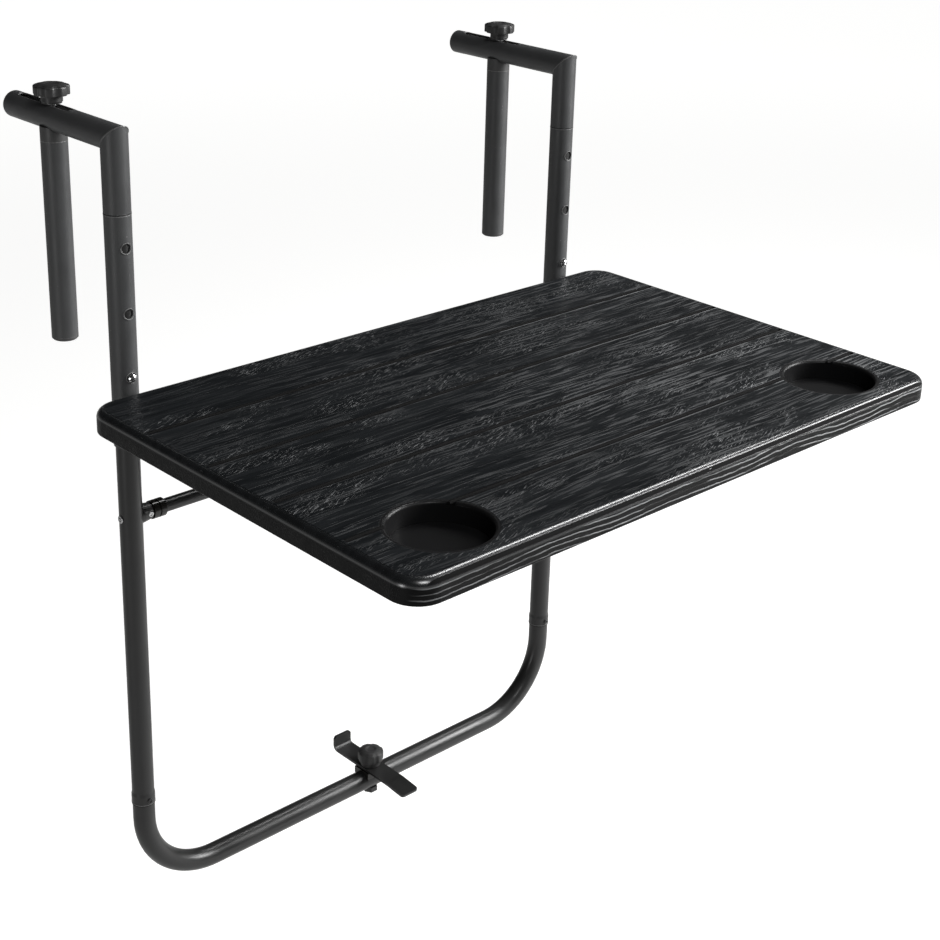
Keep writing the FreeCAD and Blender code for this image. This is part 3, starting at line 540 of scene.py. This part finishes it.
def plank_grain_group():
    """Height, painted glints, tone and groove of the planks.

    Height is a weighted sum of lines, streaks, arches and strokes. Glints are
    painted highlights: the peaks of the lines and strokes, times a gain that
    grows to the front and right, and a strip along the front lip of each
    groove that grows to the right, where the lamps' light falls. The groove is
    where the distance to the nearest plank's edge, from_back less the nearest
    whole number of widths, is small.
    """
    tree, given, out = start_group(
        "plank_grain", {"Plank Width": plank_width}, ["Height", "Glints", "Tone", "Groove"]
    )
    width = given.outputs["Plank Width"]
    where = tree.nodes.new("ShaderNodeTexCoord").outputs["Object"]
    parts = axes(tree, where)
    from_back = math_node(tree, "SUBTRACT", plank_back, parts["Y"])
    planks = math_node(tree, "DIVIDE", from_back, width)
    dice = add_node(tree, "TexWhiteNoise", {"W": math_node(tree, "FLOOR", planks)}, noise_dimensions="1D")
    moved = vector_node(tree, "ADD", where, dice.outputs["Color"])

    along = swayed(tree, moved)
    fine = stretched_noise(tree, along, line_packing, detail=1.0)
    wide = stretched_noise(tree, along, streak_packing, detail=3.0, roughness=0.6)
    strokes = brush_strokes(tree, moved)
    patch_noise = stretched_noise(tree, moved, patch_packing, detail=3.0, roughness=0.6)
    patches = ramp_node(tree, patch_noise, low=0.46, high=0.66)
    calm_noise = stretched_noise(tree, moved, calm_packing)
    calm = ramp_node(tree, calm_noise, low=0.40, high=0.56, to_low=0.45)
    lines = product(tree, ramp_node(tree, fine, low=0.53, high=0.66), calm)
    scratches = product(tree, ramp_node(tree, strokes, low=0.54, high=0.66), patches)
    arches = grain_arches(tree, along)
    height = weighted_sum(tree, (lines, 0.22), (wide, 0.25), (arches, 0.10), (scratches, 0.3))

    # Painted highlight: the glints grow brighter to the front and right, where the lamps' light falls.
    lamp_side_gain = product(
        tree,
        ramp_node(tree, parts["X"], low=-0.22, high=0.25, to_low=0.26, to_high=1.08),
        ramp_node(tree, parts["Y"], low=-0.38, high=-0.06, to_low=1.12, to_high=0.5),
    )
    line_share, stroke_least = 0.38, 0.55
    streaked = ramp_node(tree, wide, low=0.30, high=0.56, to_low=0.6)
    line_glints = product(tree, ramp_node(tree, fine, low=0.545, high=0.62), streaked, calm, lamp_side_gain)
    stroke_gain = largest(tree, lamp_side_gain, stroke_least)
    stroke_glints = product(tree, ramp_node(tree, strokes, low=0.57, high=0.64), patches, stroke_gain)
    nearest_edge = product(tree, math_node(tree, "ROUND", planks), width)
    beside = math_node(tree, "SUBTRACT", from_back, nearest_edge)
    # Painted highlight: a bright strip on the lip in front of each groove, stronger to the right.
    lip = product(
        tree,
        ramp_node(tree, beside, low=0.0025, high=0.0030),
        ramp_node(tree, beside, low=0.0041, high=0.0035),
        ramp_node(tree, parts["X"], low=-0.15, high=0.22, to_low=0.12, to_high=0.7),
        ramp_node(tree, fine, low=0.36, high=0.5),
    )
    glint_mask = largest(tree, product(tree, line_glints, line_share), stroke_glints, lip)

    inside = ramp_node(tree, math_node(tree, "ABSOLUTE", beside), low=0.0031, high=0.0024)
    within = ramp_node(tree, math_node(tree, "ABSOLUTE", parts["X"]), low=0.2935, high=0.2915)
    groove = product(tree, inside, within)
    fill(tree, out, {"Height": height, "Glints": glint_mask, "Tone": wide, "Groove": groove})
    return tree


plank_grain = plank_grain_group()
print("group:", plank_grain.name)

# %% [markdown]
# On its front face the moulding imitates the layers of sawn wood: wavy lines
# four or five millimetres apart that run out against the edge. A slow noise
# lifts and lowers the layers along the board, and a sharp step of a sine
# leaves a thin raised line on each. The lines are also painted bright as
# highlights, more towards the right, where the lamps' light falls.

# %% Group: layers on the front face
layer_spacing = 0.0046


def sawn_layer_group():
    """Raised lines where a sine of height, displaced by slow noises along X, comes to its peak, painted
    bright as highlights that grow to the right.
    """
    tree, given, out = start_group("sawn_layers", {"Spacing": layer_spacing}, ["Height", "Glints"])
    where = tree.nodes.new("ShaderNodeTexCoord").outputs["Object"]
    parts = axes(tree, where)
    long_lift, short_lift = 0.015, 0.003
    long_wave = stretched_noise(tree, where, stretch=(7.0, 1.0, 10.0), detail=1.0)
    short_wave = stretched_noise(tree, where, stretch=(55.0, 1.0, 90.0))
    lift = weighted_sum(tree, (long_wave, long_lift), (short_wave, short_lift))
    turns = math_node(tree, "DIVIDE", math_node(tree, "ADD", parts["Z"], lift), given.outputs["Spacing"])
    wave = math_node(tree, "SINE", math_node(tree, "MULTIPLY", turns, 2 * math.pi))
    breaks = stretched_noise(tree, where, stretch=(16.0, 1.0, 260.0), detail=3.0, roughness=0.6)
    # Painted highlight on the raised lines, stronger to the right, where the lamps' light falls.
    glint_mask = product(
        tree,
        ramp_node(tree, wave, low=0.60, high=0.90),
        ramp_node(tree, breaks, low=0.38, high=0.52),
        ramp_node(tree, parts["X"], low=-0.25, high=0.2, to_low=0.45),
    )
    fill(tree, out, {"Height": ramp_node(tree, wave, low=0.55, high=0.98), "Glints": glint_mask})
    return tree


sawn_layers = sawn_layer_group()
print("group:", sawn_layers.name)

# %% [markdown]
# Where each pattern shows follows the way the surface faces. The top has the
# grain, the front face has the layers, and the rounded edge between them came
# smooth and glossy out of the mould. The upright faces are painted darker, as
# the shade of sides turned away from the lamps. The cup recesses are plain,
# and the grooves are the dullest of all and painted darkest, as the shade in
# them.

# %% Regions of the board
cup_x, cup_y, cup_reach, cup_blur = 0.226, -0.3685, 0.0424, 0.0006
board_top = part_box("table_board")[1][2]
groove_shows, groove_ends = 0.0042, 0.0050  # metres below the board's top


def cup_mask(tree, parts):
    """One inside the cup recesses, from the level distance to the nearer cup's axis."""
    across = math_node(tree, "SUBTRACT", math_node(tree, "ABSOLUTE", parts["X"]), cup_x)
    along = math_node(tree, "SUBTRACT", parts["Y"], cup_y)
    squares = math_node(tree, "ADD", product(tree, across, across), product(tree, along, along))
    return ramp_node(tree, math_node(tree, "SQRT", squares), cup_reach + cup_blur, cup_reach - cup_blur)


def board_masks(tree, grain_groove):
    """The board's regions, from where a point lies and which way it faces."""
    coordinates = tree.nodes.new("ShaderNodeTexCoord")
    facing = axes(tree, coordinates.outputs["Normal"])
    parts = axes(tree, coordinates.outputs["Object"])
    cup = cup_mask(tree, parts)
    outside = opposite(tree, cup)
    steep = ramp_node(tree, facing["Z"], low=0.20, high=0.06)
    top = product(tree, ramp_node(tree, facing["Z"], low=0.975, high=0.996), outside)
    face = product(tree, steep, outside)
    front = product(tree, face, ramp_node(tree, math_node(tree, "ABSOLUTE", facing["Y"]), low=0.5, high=0.9))
    near_top = ramp_node(tree, parts["Z"], board_top - groove_ends, board_top - groove_shows)
    groove = product(tree, grain_groove, opposite(tree, steep), near_top)
    rounded = math_node(tree, "SUBTRACT", outside, math_node(tree, "ADD", top, face), clamp=True)
    return dict(
        cup=cup, outside=outside, top=top, face=face, front=front,
        groove=groove, ungrooved=opposite(tree, groove), rounded=rounded,
    )


print("board's top at", round(board_top, 4), "and cups at x", (-cup_x, cup_x))

# %% [markdown]
# With the regions as masks, each property of the skin is one short function.
# A clear coat over the rounded edge, with a trace of it in the cups, gives the
# moulded gloss. The low specular level keeps the rest of the black deep.

# %% The board's finish
# The faces' colour is painted shade for the sides turned away from the lamps, and the grooves' colour is
# painted shade in the recesses.
dark_skin, light_skin = (0.0064, 0.0074, 0.0084, 1), (0.0116, 0.0130, 0.0144, 1)
face_painted_shade, cup_skin = (0.0020, 0.0021, 0.0022, 1), (0.0095, 0.0095, 0.0099, 1)
# The ridges' colour is a painted highlight: the glints of the grain and of the layer lines.
groove_painted_shade, painted_glint_colour = (0.0012, 0.0012, 0.0013, 1), (0.27, 0.275, 0.28, 1)
edge_rough, groove_rough, cup_rough = 0.25, 0.8, 0.4


def board_skin_height(tree, masks, grain, layers):
    """Grain at full height on the top and lightly elsewhere, plus the layers on the front."""
    face_share, edge_share, layer_share = 0.35, 0.02, 0.55
    on_face, on_edge = product(tree, masks["face"], face_share), product(tree, masks["outside"], edge_share)
    grained = largest(tree, masks["top"], on_face, on_edge)
    grain_height = product(tree, grain.outputs["Height"], grained)
    layer_height = product(tree, layers.outputs["Height"], masks["front"])
    return weighted_sum(tree, (grain_height, 1.0), (layer_height, layer_share))


def board_colour(tree, masks, grain, layers):
    """The skin's tone, the plain colour of each region with painted shade on the faces and in the grooves,
    and the painted glints of the ridges over all but the grooves.
    """
    layer_gain = 1.7
    top_glints = product(tree, grain.outputs["Glints"], masks["top"])
    front_glints = product(tree, layers.outputs["Glints"], masks["front"], layer_gain)
    glint_mask = math_node(tree, "ADD", top_glints, front_glints, clamp=True)
    tone = ramp_node(tree, grain.outputs["Tone"], low=0.38, high=0.62)
    skin = mix_colours(tree, tone, dark_skin, light_skin)
    # Painted shade: the faces and grooves take their darker colours here, and the cups their plain colour.
    for region, colour in (("face", face_painted_shade), ("cup", cup_skin), ("groove", groove_painted_shade)):
        skin = mix_colours(tree, masks[region], skin, colour)
    return mix_colours(tree, product(tree, glint_mask, masks["ungrooved"]), skin, painted_glint_colour)


def board_roughness(tree, masks, grain):
    """Glossy on the rounded edge, following the tone on top and face, and dull in grooves and cups."""
    toned = ramp_node(tree, grain.outputs["Tone"], low=0.3, high=0.7, to_low=0.30, to_high=0.42)
    gloss = add_node(tree, "Mix", {0: largest(tree, masks["top"], masks["face"]), 2: edge_rough, 3: toned})
    in_groove, in_cup = product(tree, masks["groove"], groove_rough), product(tree, masks["cup"], cup_rough)
    return largest(tree, gloss.outputs[0], in_groove, in_cup)


def board_finish():
    """Blue-black moulded plastic: grain on top, layers in front, a glossy coat on the rounded edge."""
    finish, tree, surface = new_finish("moulded_board", ior=1.5)
    grain = place_group(tree, plank_grain, {"Plank Width": plank_width})
    layers = place_group(tree, sawn_layers, {"Spacing": layer_spacing})
    masks = board_masks(tree, grain.outputs["Groove"])
    edge_coat, cup_coat, skin_depth = 0.9, 0.05, 0.0011
    coat = weighted_sum(tree, (masks["rounded"], edge_coat), (masks["cup"], cup_coat))
    fill(tree, surface, {
        "Base Color": board_colour(tree, masks, grain, layers),
        "Roughness": board_roughness(tree, masks, grain),
        "Normal": bump_node(tree, board_skin_height(tree, masks, grain, layers), skin_depth),
        "Coat Weight": product(tree, masks["ungrooved"], coat),
        "Coat Roughness": 0.27,
        "Coat IOR": 2.1,
        "Specular IOR Level": 0.11,
    })
    return finish


finishes["board_plastic"] = board_finish()
print("board finish:", len(finishes["board_plastic"].node_tree.nodes), "nodes")

# %% [markdown]
# Each rigid piece takes the finish of its material slot. A few pieces share a
# slot but not a look: the hook's bolt and the washers under the knobs are
# blackened, and the ferrules on the support bar and the seat of the lower
# hook are glossier than the other caps.

# %% Put the finishes on the rigid pieces
own_finish = {
    "hook_bolt": "black_screw",
    "left_knob_washer": "black_screw",
    "right_knob_washer": "black_screw",
    "left_bar_ferrule": "glossy_cap",
    "right_bar_ferrule": "glossy_cap",
    "hook_saddle": "glossy_cap",
}
finished = 0
for name, node in nodes.items():
    for place, old in enumerate(node.data.materials):
        key = own_finish.get(name, old.name.split(".")[0])
        if key in finishes:
            node.material_slots[place].material = finishes[key]
            finished += 1
print("finished rigid pieces:", finished)

# %% [markdown]
# New pieces are built as grids of points. A grid is closed around its
# columns. Its rows either join up, as in a bead laid round a tube, or end in
# a pole, as in a turned screw. The sign of the enclosed volume tells whether
# the faces look outward, and they are turned round where they don't.

# %% Tools for surfaces
def grid_faces(rows, columns, ring):
    """Quads between neighbouring rows of a grid closed around its columns, and along its rows if ring."""
    row = np.arange(rows if ring else rows - 1)[:, None]
    column = np.arange(columns)[None, :]
    beyond, beside = (row + 1) % rows, (column + 1) % columns
    corners = [(row, column), (row, beside), (beyond, beside), (beyond, column)]
    return np.stack([across * columns + along for across, along in corners], -1).reshape(-1, 4)


def closed_shell(points, ring):
    """Points, quads and triangles of one closed grid; without ring its end rows shrink to poles."""
    if ring:
        return points.reshape(-1, 3), grid_faces(*points.shape[:2], True), np.empty((0, 3), int)
    inner = points[1:-1]
    rows, columns = inner.shape[:2]
    places = np.vstack([inner.reshape(-1, 3), points[0, :1], points[-1, :1]])
    column = np.arange(columns)
    beside = (column + 1) % columns
    first, last, last_row = rows * columns, rows * columns + 1, (rows - 1) * columns
    start = np.column_stack([np.full(columns, first), beside, column])
    end = np.column_stack([np.full(columns, last), last_row + column, last_row + beside])
    return places, grid_faces(rows, columns, False), np.vstack([start, end])


def shell_volume(places, quads, triangles):
    """Enclosed volume, negative where the faces look inward: a sixth of the sum of a dot b cross c."""
    thirds = np.vstack([triangles, quads[:, [0, 1, 2]], quads[:, [0, 2, 3]]])
    a, b, c = places[thirds[:, 0]], places[thirds[:, 1]], places[thirds[:, 2]]
    return np.einsum("ij,ij->i", a, np.cross(b, c)).sum() / 6


def add_piece(name, shells, finish_name, body):
    """One object from shells, (points, ring) pairs, with its finish and the body it rides on."""
    all_places, all_faces, count = [], [], 0
    for points, ring in shells:
        places, quads, triangles = closed_shell(points, ring)
        if shell_volume(places - places.mean(0), quads, triangles) < 0:
            quads, triangles = quads[:, ::-1], triangles[:, ::-1]
        all_places.append(places)
        all_faces += (quads + count).tolist() + (triangles + count).tolist()
        count += len(places)
    mesh = bpy.data.meshes.new(name)
    mesh.from_pydata(np.vstack(all_places).tolist(), [], all_faces)
    mesh.polygons.foreach_set("use_smooth", np.full(len(mesh.polygons), True))
    mesh.materials.append(finishes[finish_name])
    piece = bpy.data.objects.new(name, mesh)
    bpy.context.scene.collection.objects.link(piece)
    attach(piece, body)
    print(name, len(mesh.polygons), "faces on", body)
    return piece


def full_turn(steps):
    """Equal angles once around, in radians."""
    return np.linspace(0, 2 * np.pi, steps, endpoint=False)


def bead(path, outward, thickness, facets=8):
    """A round bead along a closed path: at each point a circle of radius thickness, square to the path."""
    along = np.roll(path, -1, 0) - np.roll(path, 1, 0)
    along /= np.linalg.norm(along, axis=1, keepdims=True)
    sideways = np.cross(along, outward)
    turn = full_turn(facets)[None, :, None]
    size = np.broadcast_to(np.asarray(thickness, float), (len(path),))[:, None, None]
    return path[:, None] + size * (np.cos(turn) * outward[:, None] + np.sin(turn) * sideways[:, None]), True


def level_ring(x, y, z, radius, thickness):
    """A bead on a level circle around an upright tube."""
    turn = full_turn(96)
    out = np.column_stack([np.cos(turn), np.sin(turn), np.zeros(len(turn))])
    return bead(np.array([x, y, z]) + radius * out, out, thickness)


sides = {"left": -1, "right": 1}
post_x, post_y, rear_y, tube_radius = 0.253, -0.01125, 0.08075, 0.01125
print("tubes at x", [sign * post_x for sign in sides.values()], "with radius", tube_radius)

# %% [markdown]
# Each hook is two tubes cut at forty-five degrees and welded. The cut leaves
# an ellipse, and the weld is a bead laid along it in overlapping steps, which
# read as fine ripples. The bead leans halfway between the two tubes, and it
# thins out in the tight inner corner. Its grey, lighter than the coat, is
# partly worn coat and partly a painted highlight along the mitre.

# %% Weld beads at the elbows
weld_thickness, ripple_height, wobble_height, weld_sunk = 0.00064, 0.00024, 0.00006, 0.0002
ripples, wobbles, corner_thinning = 28, 5, 0.65


def mitre_bead(x):
    """A bead on the ellipse where the post's tube meets the arm's tube.

    The ripple is the size of a sine, and a slow sine makes the bead uneven.
    The thinning follows half of one minus the sine of the turn, to the
    eighth power, so that only the corner has it.
    """
    turn = full_turn(420)
    c, s = np.cos(turn), np.sin(turn)
    path = np.column_stack([x + tube_radius * c, post_y + tube_radius * s, tube_radius - tube_radius * s])
    out = np.column_stack([c, s / 2, -s / 2])
    out /= np.linalg.norm(out, axis=1, keepdims=True)
    ripple, wobble = np.abs(np.sin(ripples * turn)), np.sin(wobbles * turn + 1)
    thickness = weld_thickness + ripple_height * ripple + wobble_height * wobble
    thickness *= 1 - corner_thinning * ((1 - s) / 2) ** 8
    return bead(path - weld_sunk * out, out, thickness, facets=10)


for side, sign in sides.items():
    add_piece(side + "_elbow_weld", [mitre_bead(sign * post_x)], "weld_bead", "hooks")

# %% [markdown]
# The posts, the hooks and the legs are separate tubes pushed onto thinner
# ones. Each joint shows as a dark gap with a bright line beside it. The gap
# is a near-black ring of painted shade. The line is a bead on the cut end of
# the outer tube, which is slightly swollen with its coat thin there. Its light
# grey is partly that worn coat and partly a painted highlight.

# %% Seams of the tubes
post_seam, bow_seam, rear_seam = -0.0491, -0.6003, -0.0081
for side, sign in sides.items():
    x = sign * post_x
    rings = {
        "post_gap": level_ring(x, post_y, post_seam - 0.0001, radius=0.01108, thickness=0.00034),
        "post_lip": level_ring(x, post_y, post_seam - 0.0010, radius=0.01110, thickness=0.00034),
        "leg_gap": level_ring(x, post_y, bow_seam, radius=0.01022, thickness=0.00050),
        "leg_lip": level_ring(x, post_y, bow_seam + 0.0010, radius=0.01040, thickness=0.00036),
        "rear_lip": level_ring(x, rear_y, rear_seam, radius=0.01106, thickness=0.00032),
    }
    for seam, ring in rings.items():
        finish_name = "seam_shadow" if seam.endswith("gap") else "seam_lip_wear_and_sheen"
        body = side + "_rear_hook" if seam == "rear_lip" else "frame"
        add_piece(side + "_" + seam, [ring], finish_name, body)

# %% [markdown]
# The holes for the snap button are punched through the front wall. The punch
# leaves a rolled lip that catches the light. Its grey, as light as the weld's,
# is partly worn coat and partly a painted highlight. The lip follows the tube:
# its distance in front of the axis is the height of the tube's circle at each
# sideways step.

# %% Rolled lips of the post holes
hole_radius = 0.0046
hole_levels = (-0.07675, -0.13175, -0.18675)


def hole_lip(x, z, radius, thickness):
    """A bead on the curve where a cylinder of the given radius leaves the front of an upright tube."""
    turn = full_turn(56)
    across, rise = radius * np.cos(turn), radius * np.sin(turn)
    depth = np.sqrt(tube_radius**2 - across**2)
    path = np.column_stack([x + across, post_y - depth, z + rise])
    out = np.column_stack([across, -depth, np.zeros(len(turn))]) / tube_radius
    return bead(path, out, thickness)


for side, sign in sides.items():
    lips = [hole_lip(sign * post_x, z, hole_radius, thickness=0.00048) for z in hole_levels]
    add_piece(side + "_hole_lips", lips, "weld_bead", "frame")

# %% [markdown]
# The arm has a long slot on top, in which the clamp's stud slides. Its edge
# is rolled in the same way as the holes, with the same light grey, partly
# worn coat and partly a painted highlight.

# %% Rolled lips of the arm slots
slot_start, slot_end, slot_half = 0.05305, 0.12545, 0.0046


def slot_lip(x, start, end, half, thickness):
    """A bead on a stadium outline laid onto the top of the level arm tube, sunk into it a little."""
    sunk = 0.975
    turn = np.linspace(0, np.pi, 24)[1:-1]
    run = np.linspace(start, end, 60)
    edge = np.full(len(run), half)
    across = np.concatenate([edge, half * np.cos(turn), -edge, -half * np.cos(turn)])
    along = np.concatenate([run, end + half * np.sin(turn), run[::-1], start - half * np.sin(turn)])
    lift = np.sqrt(tube_radius**2 - across**2)
    path = np.column_stack([x + across, along, tube_radius + lift * sunk])
    out = np.column_stack([across, np.zeros(len(across)), lift]) / tube_radius
    return bead(path, out, thickness)


for side, sign in sides.items():
    lip = slot_lip(sign * post_x, slot_start, slot_end, slot_half, thickness=0.0004)
    add_piece(side + "_slot_lip", [lip], "weld_bead", "hooks")

# %% [markdown]
# The knobs are moulded plastic stars with seven lobes. Seen from above the
# outline is a circle bitten by seven round scallops. The two curves are
# blended with a soft minimum, so that each lobe has a rounded corner, and
# the rows of the grid round the rim's lower and upper edges too.

# %% Star knobs
lobes, bite, corner_softness, rim_edge, dish_depth = 7, 0.006, 0.00022, 0.0013, 0.0005


def star_outline(turn, reach, scallop):
    """Distance of the outline: a soft minimum of the circle and the near side of the nearest scallop."""
    bite_distance = reach + bite - scallop
    folded = (turn + np.pi / lobes) % (2 * np.pi / lobes) - np.pi / lobes
    under = bite**2 - (bite_distance * np.sin(folded)) ** 2
    near = np.where(under > 0, bite_distance * np.cos(folded) - np.sqrt(np.maximum(under, 0)), 10 * reach)
    return -corner_softness * np.logaddexp(-reach / corner_softness, -near / corner_softness)


def turned_grid(rows, turn):
    """Distances and heights of a list of rows, as a grid and a column."""
    far = np.array([np.broadcast_to(distance, turn.shape) for distance, height in rows])
    return far, np.array([height for distance, height in rows])[:, None]


def star_knob(x, y, base, reach, hub, hub_height, taper, rim, dome, scallop):
    """Rows (distance, height) from the hub's foot over the flare and the rim to a shallow dish on top."""
    turn = full_turn(lobes * 28)
    outline = star_outline(turn, reach, scallop)
    rim_low, rim_high = hub_height + taper, hub_height + taper + rim
    top = rim_high + dome
    tuck = rim_edge * 0.4
    foot_edge = 0.0005
    rows = [(0.0, 0.0), (hub - foot_edge, 0.0), (hub, foot_edge)]
    rows += [(hub, height) for height in np.linspace(0.001, hub_height, 3)]
    for t in np.linspace(0.15, 1, 6):
        swell = 1 - np.cos(t * np.pi / 2)
        flared = (1 - swell) * hub + swell * (outline - tuck)
        rows.append((flared, hub_height + taper * np.sin(t * np.pi / 2)))
    for t in np.linspace(0.3, 1, 4) * np.pi / 2:
        rows.append((outline - tuck * (1 - np.sin(t)), rim_low + rim_edge * 0.5 * (1 - np.cos(t))))
    rows.append((outline, (rim_low + rim_high) / 2))
    for t in np.linspace(0, 1, 6) * np.pi / 2:
        rows.append((outline - rim_edge * (1 - np.cos(t)), rim_high - rim_edge + rim_edge * np.sin(t)))
    for share in (0.86, 0.74, 0.62, 0.50):
        blend = (share - 0.5) / 0.5
        rounded = blend * outline + (1 - blend) * reach * 0.92
        rows.append((rounded * share, top - dome * ((share - 0.45) / 0.5) ** 2))
    rows.append((reach * 0.42, top))
    rows += [(distance, top - dish_depth) for distance in (reach * 0.37, reach * 0.2, 0.0)]
    far, lift = turned_grid(rows, turn)
    places = [x + far * np.cos(turn), y + far * np.sin(turn), np.broadcast_to(base + lift, far.shape)]
    return np.stack(places, -1), False


clamp_sizes = dict(
    reach=0.015, hub=0.0090, hub_height=0.0042, taper=0.0018, rim=0.0077, dome=0.0015, scallop=0.0014
)
hook_sizes = dict(
    reach=0.013, hub=0.0102, hub_height=0.0040, taper=0.0020, rim=0.0094, dome=0.0016, scallop=0.0007
)
for side, sign in sides.items():
    star = star_knob(sign * post_x, rear_y, 0.0238, **clamp_sizes)
    knob = add_piece(side + "_star_knob", [star], "knob_plastic", side + "_clamp_knob")
    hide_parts(side + "_rear_knob")
star = star_knob(0.015, post_y, -0.6774, **hook_sizes)
hook_star = add_piece("hook_star_knob", [star], "knob_plastic", "lower_hook_knob")
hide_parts("hook_knob")

# %% [markdown]
# Screws are turned shapes with a six-sided socket. The head's edge is
# rounded, and the socket is sunk straight in, so it stays dark inside a
# bright ring. The pivot bolts have a low, wide head, nearly flush.

# %% Screws and pivot bolts
def socket_screw(seat, outward, shank, length, head, height, socket, depth):
    """Rows of one screw: the tip's pole, the shank, the rounded head, the socket and its floor's pole."""
    seat, outward = np.array(seat, float), np.array(outward, float)
    turn = full_turn(48)
    hexagon = 1 / np.cos((turn + np.pi / 6) % (np.pi / 3) - np.pi / 6)
    edge = 0.6 * height
    rows = [(0.0, -length), (shank, -length), (shank, -0.00001), (0.97 * head, 0.0), (head, 0.06 * height)]
    for t in np.linspace(0, 1, 6) * np.pi / 2:
        rows.append((head - edge * (1 - np.cos(t)), height - edge + edge * np.sin(t)))
    rows += [(1.25 * socket, height), (1.04 * socket * hexagon, height)]
    rows += [(socket * hexagon, height - share * depth) for share in (0.06, 0.96)]
    rows += [(0.9 * socket * hexagon, height - depth), (0.0, height - depth)]
    far, lift = turned_grid(rows, turn)
    across = np.cross(outward, [0.31, 0.52, 0.79])  # any direction that isn't outward does
    across /= np.linalg.norm(across)
    other = np.cross(outward, across)
    spin = np.cos(turn)[:, None] * across + np.sin(turn)[:, None] * other
    return seat + far[..., None] * spin + lift[..., None] * outward, False


def screw_set(name, places, finish_name, body, **sizes):
    """One piece of several equal screws at (seat, outward) places; it stands for the node of that name."""
    screws = [socket_screw(seat, outward, **sizes) for seat, outward in places]
    piece = add_piece(name + "_turned", screws, finish_name, body)
    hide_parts(name)


def pair(x, y, z, outward):
    """Places of a mirrored pair of screws, from the right one's seat and direction."""
    return [((s * x, y, z), (s * outward[0], *outward[1:])) for s in (-1, 1)]


sideways, frontward, downward = (1, 0, 0), (0, -1, 0), (0, 0, -1)
clip_places = [((s * 0.1, y, -0.2200), downward) for s in (-1, 1) for y in (-0.2098, -0.1812)]
screw_set(
    "pivot_bolts", pair(0.26290, post_y, -0.316, sideways), "zinc_steel", "frame",
    shank=0.0025, length=0.034, head=0.0035, height=0.0009, socket=0.0017, depth=0.0022,
)
screw_set(
    "leg_screws", pair(0.26415, post_y, -0.23315, sideways), "zinc_steel", "frame",
    shank=0.0019, length=0.006, head=0.0034, height=0.0017, socket=0.0014, depth=0.0012,
)
screw_set(
    "bow_screws", pair(post_x, -0.02185, -0.5955, frontward), "black_screw", "frame",
    shank=0.0019, length=0.006, head=0.0026, height=0.0013, socket=0.0012, depth=0.0009,
)
screw_set(
    "boss_screws", pair(0.2376, -0.0182, -0.316, frontward), "zinc_steel", "frame",
    shank=0.0015, length=0.0041, head=0.0025, height=0.0011, socket=0.0011, depth=0.0008,
)
screw_set(
    "clip_screws", clip_places, "zinc_steel", "table_top",
    shank=0.0017, length=0.0149, head=0.0035, height=0.0017, socket=0.0014, depth=0.0012,
)
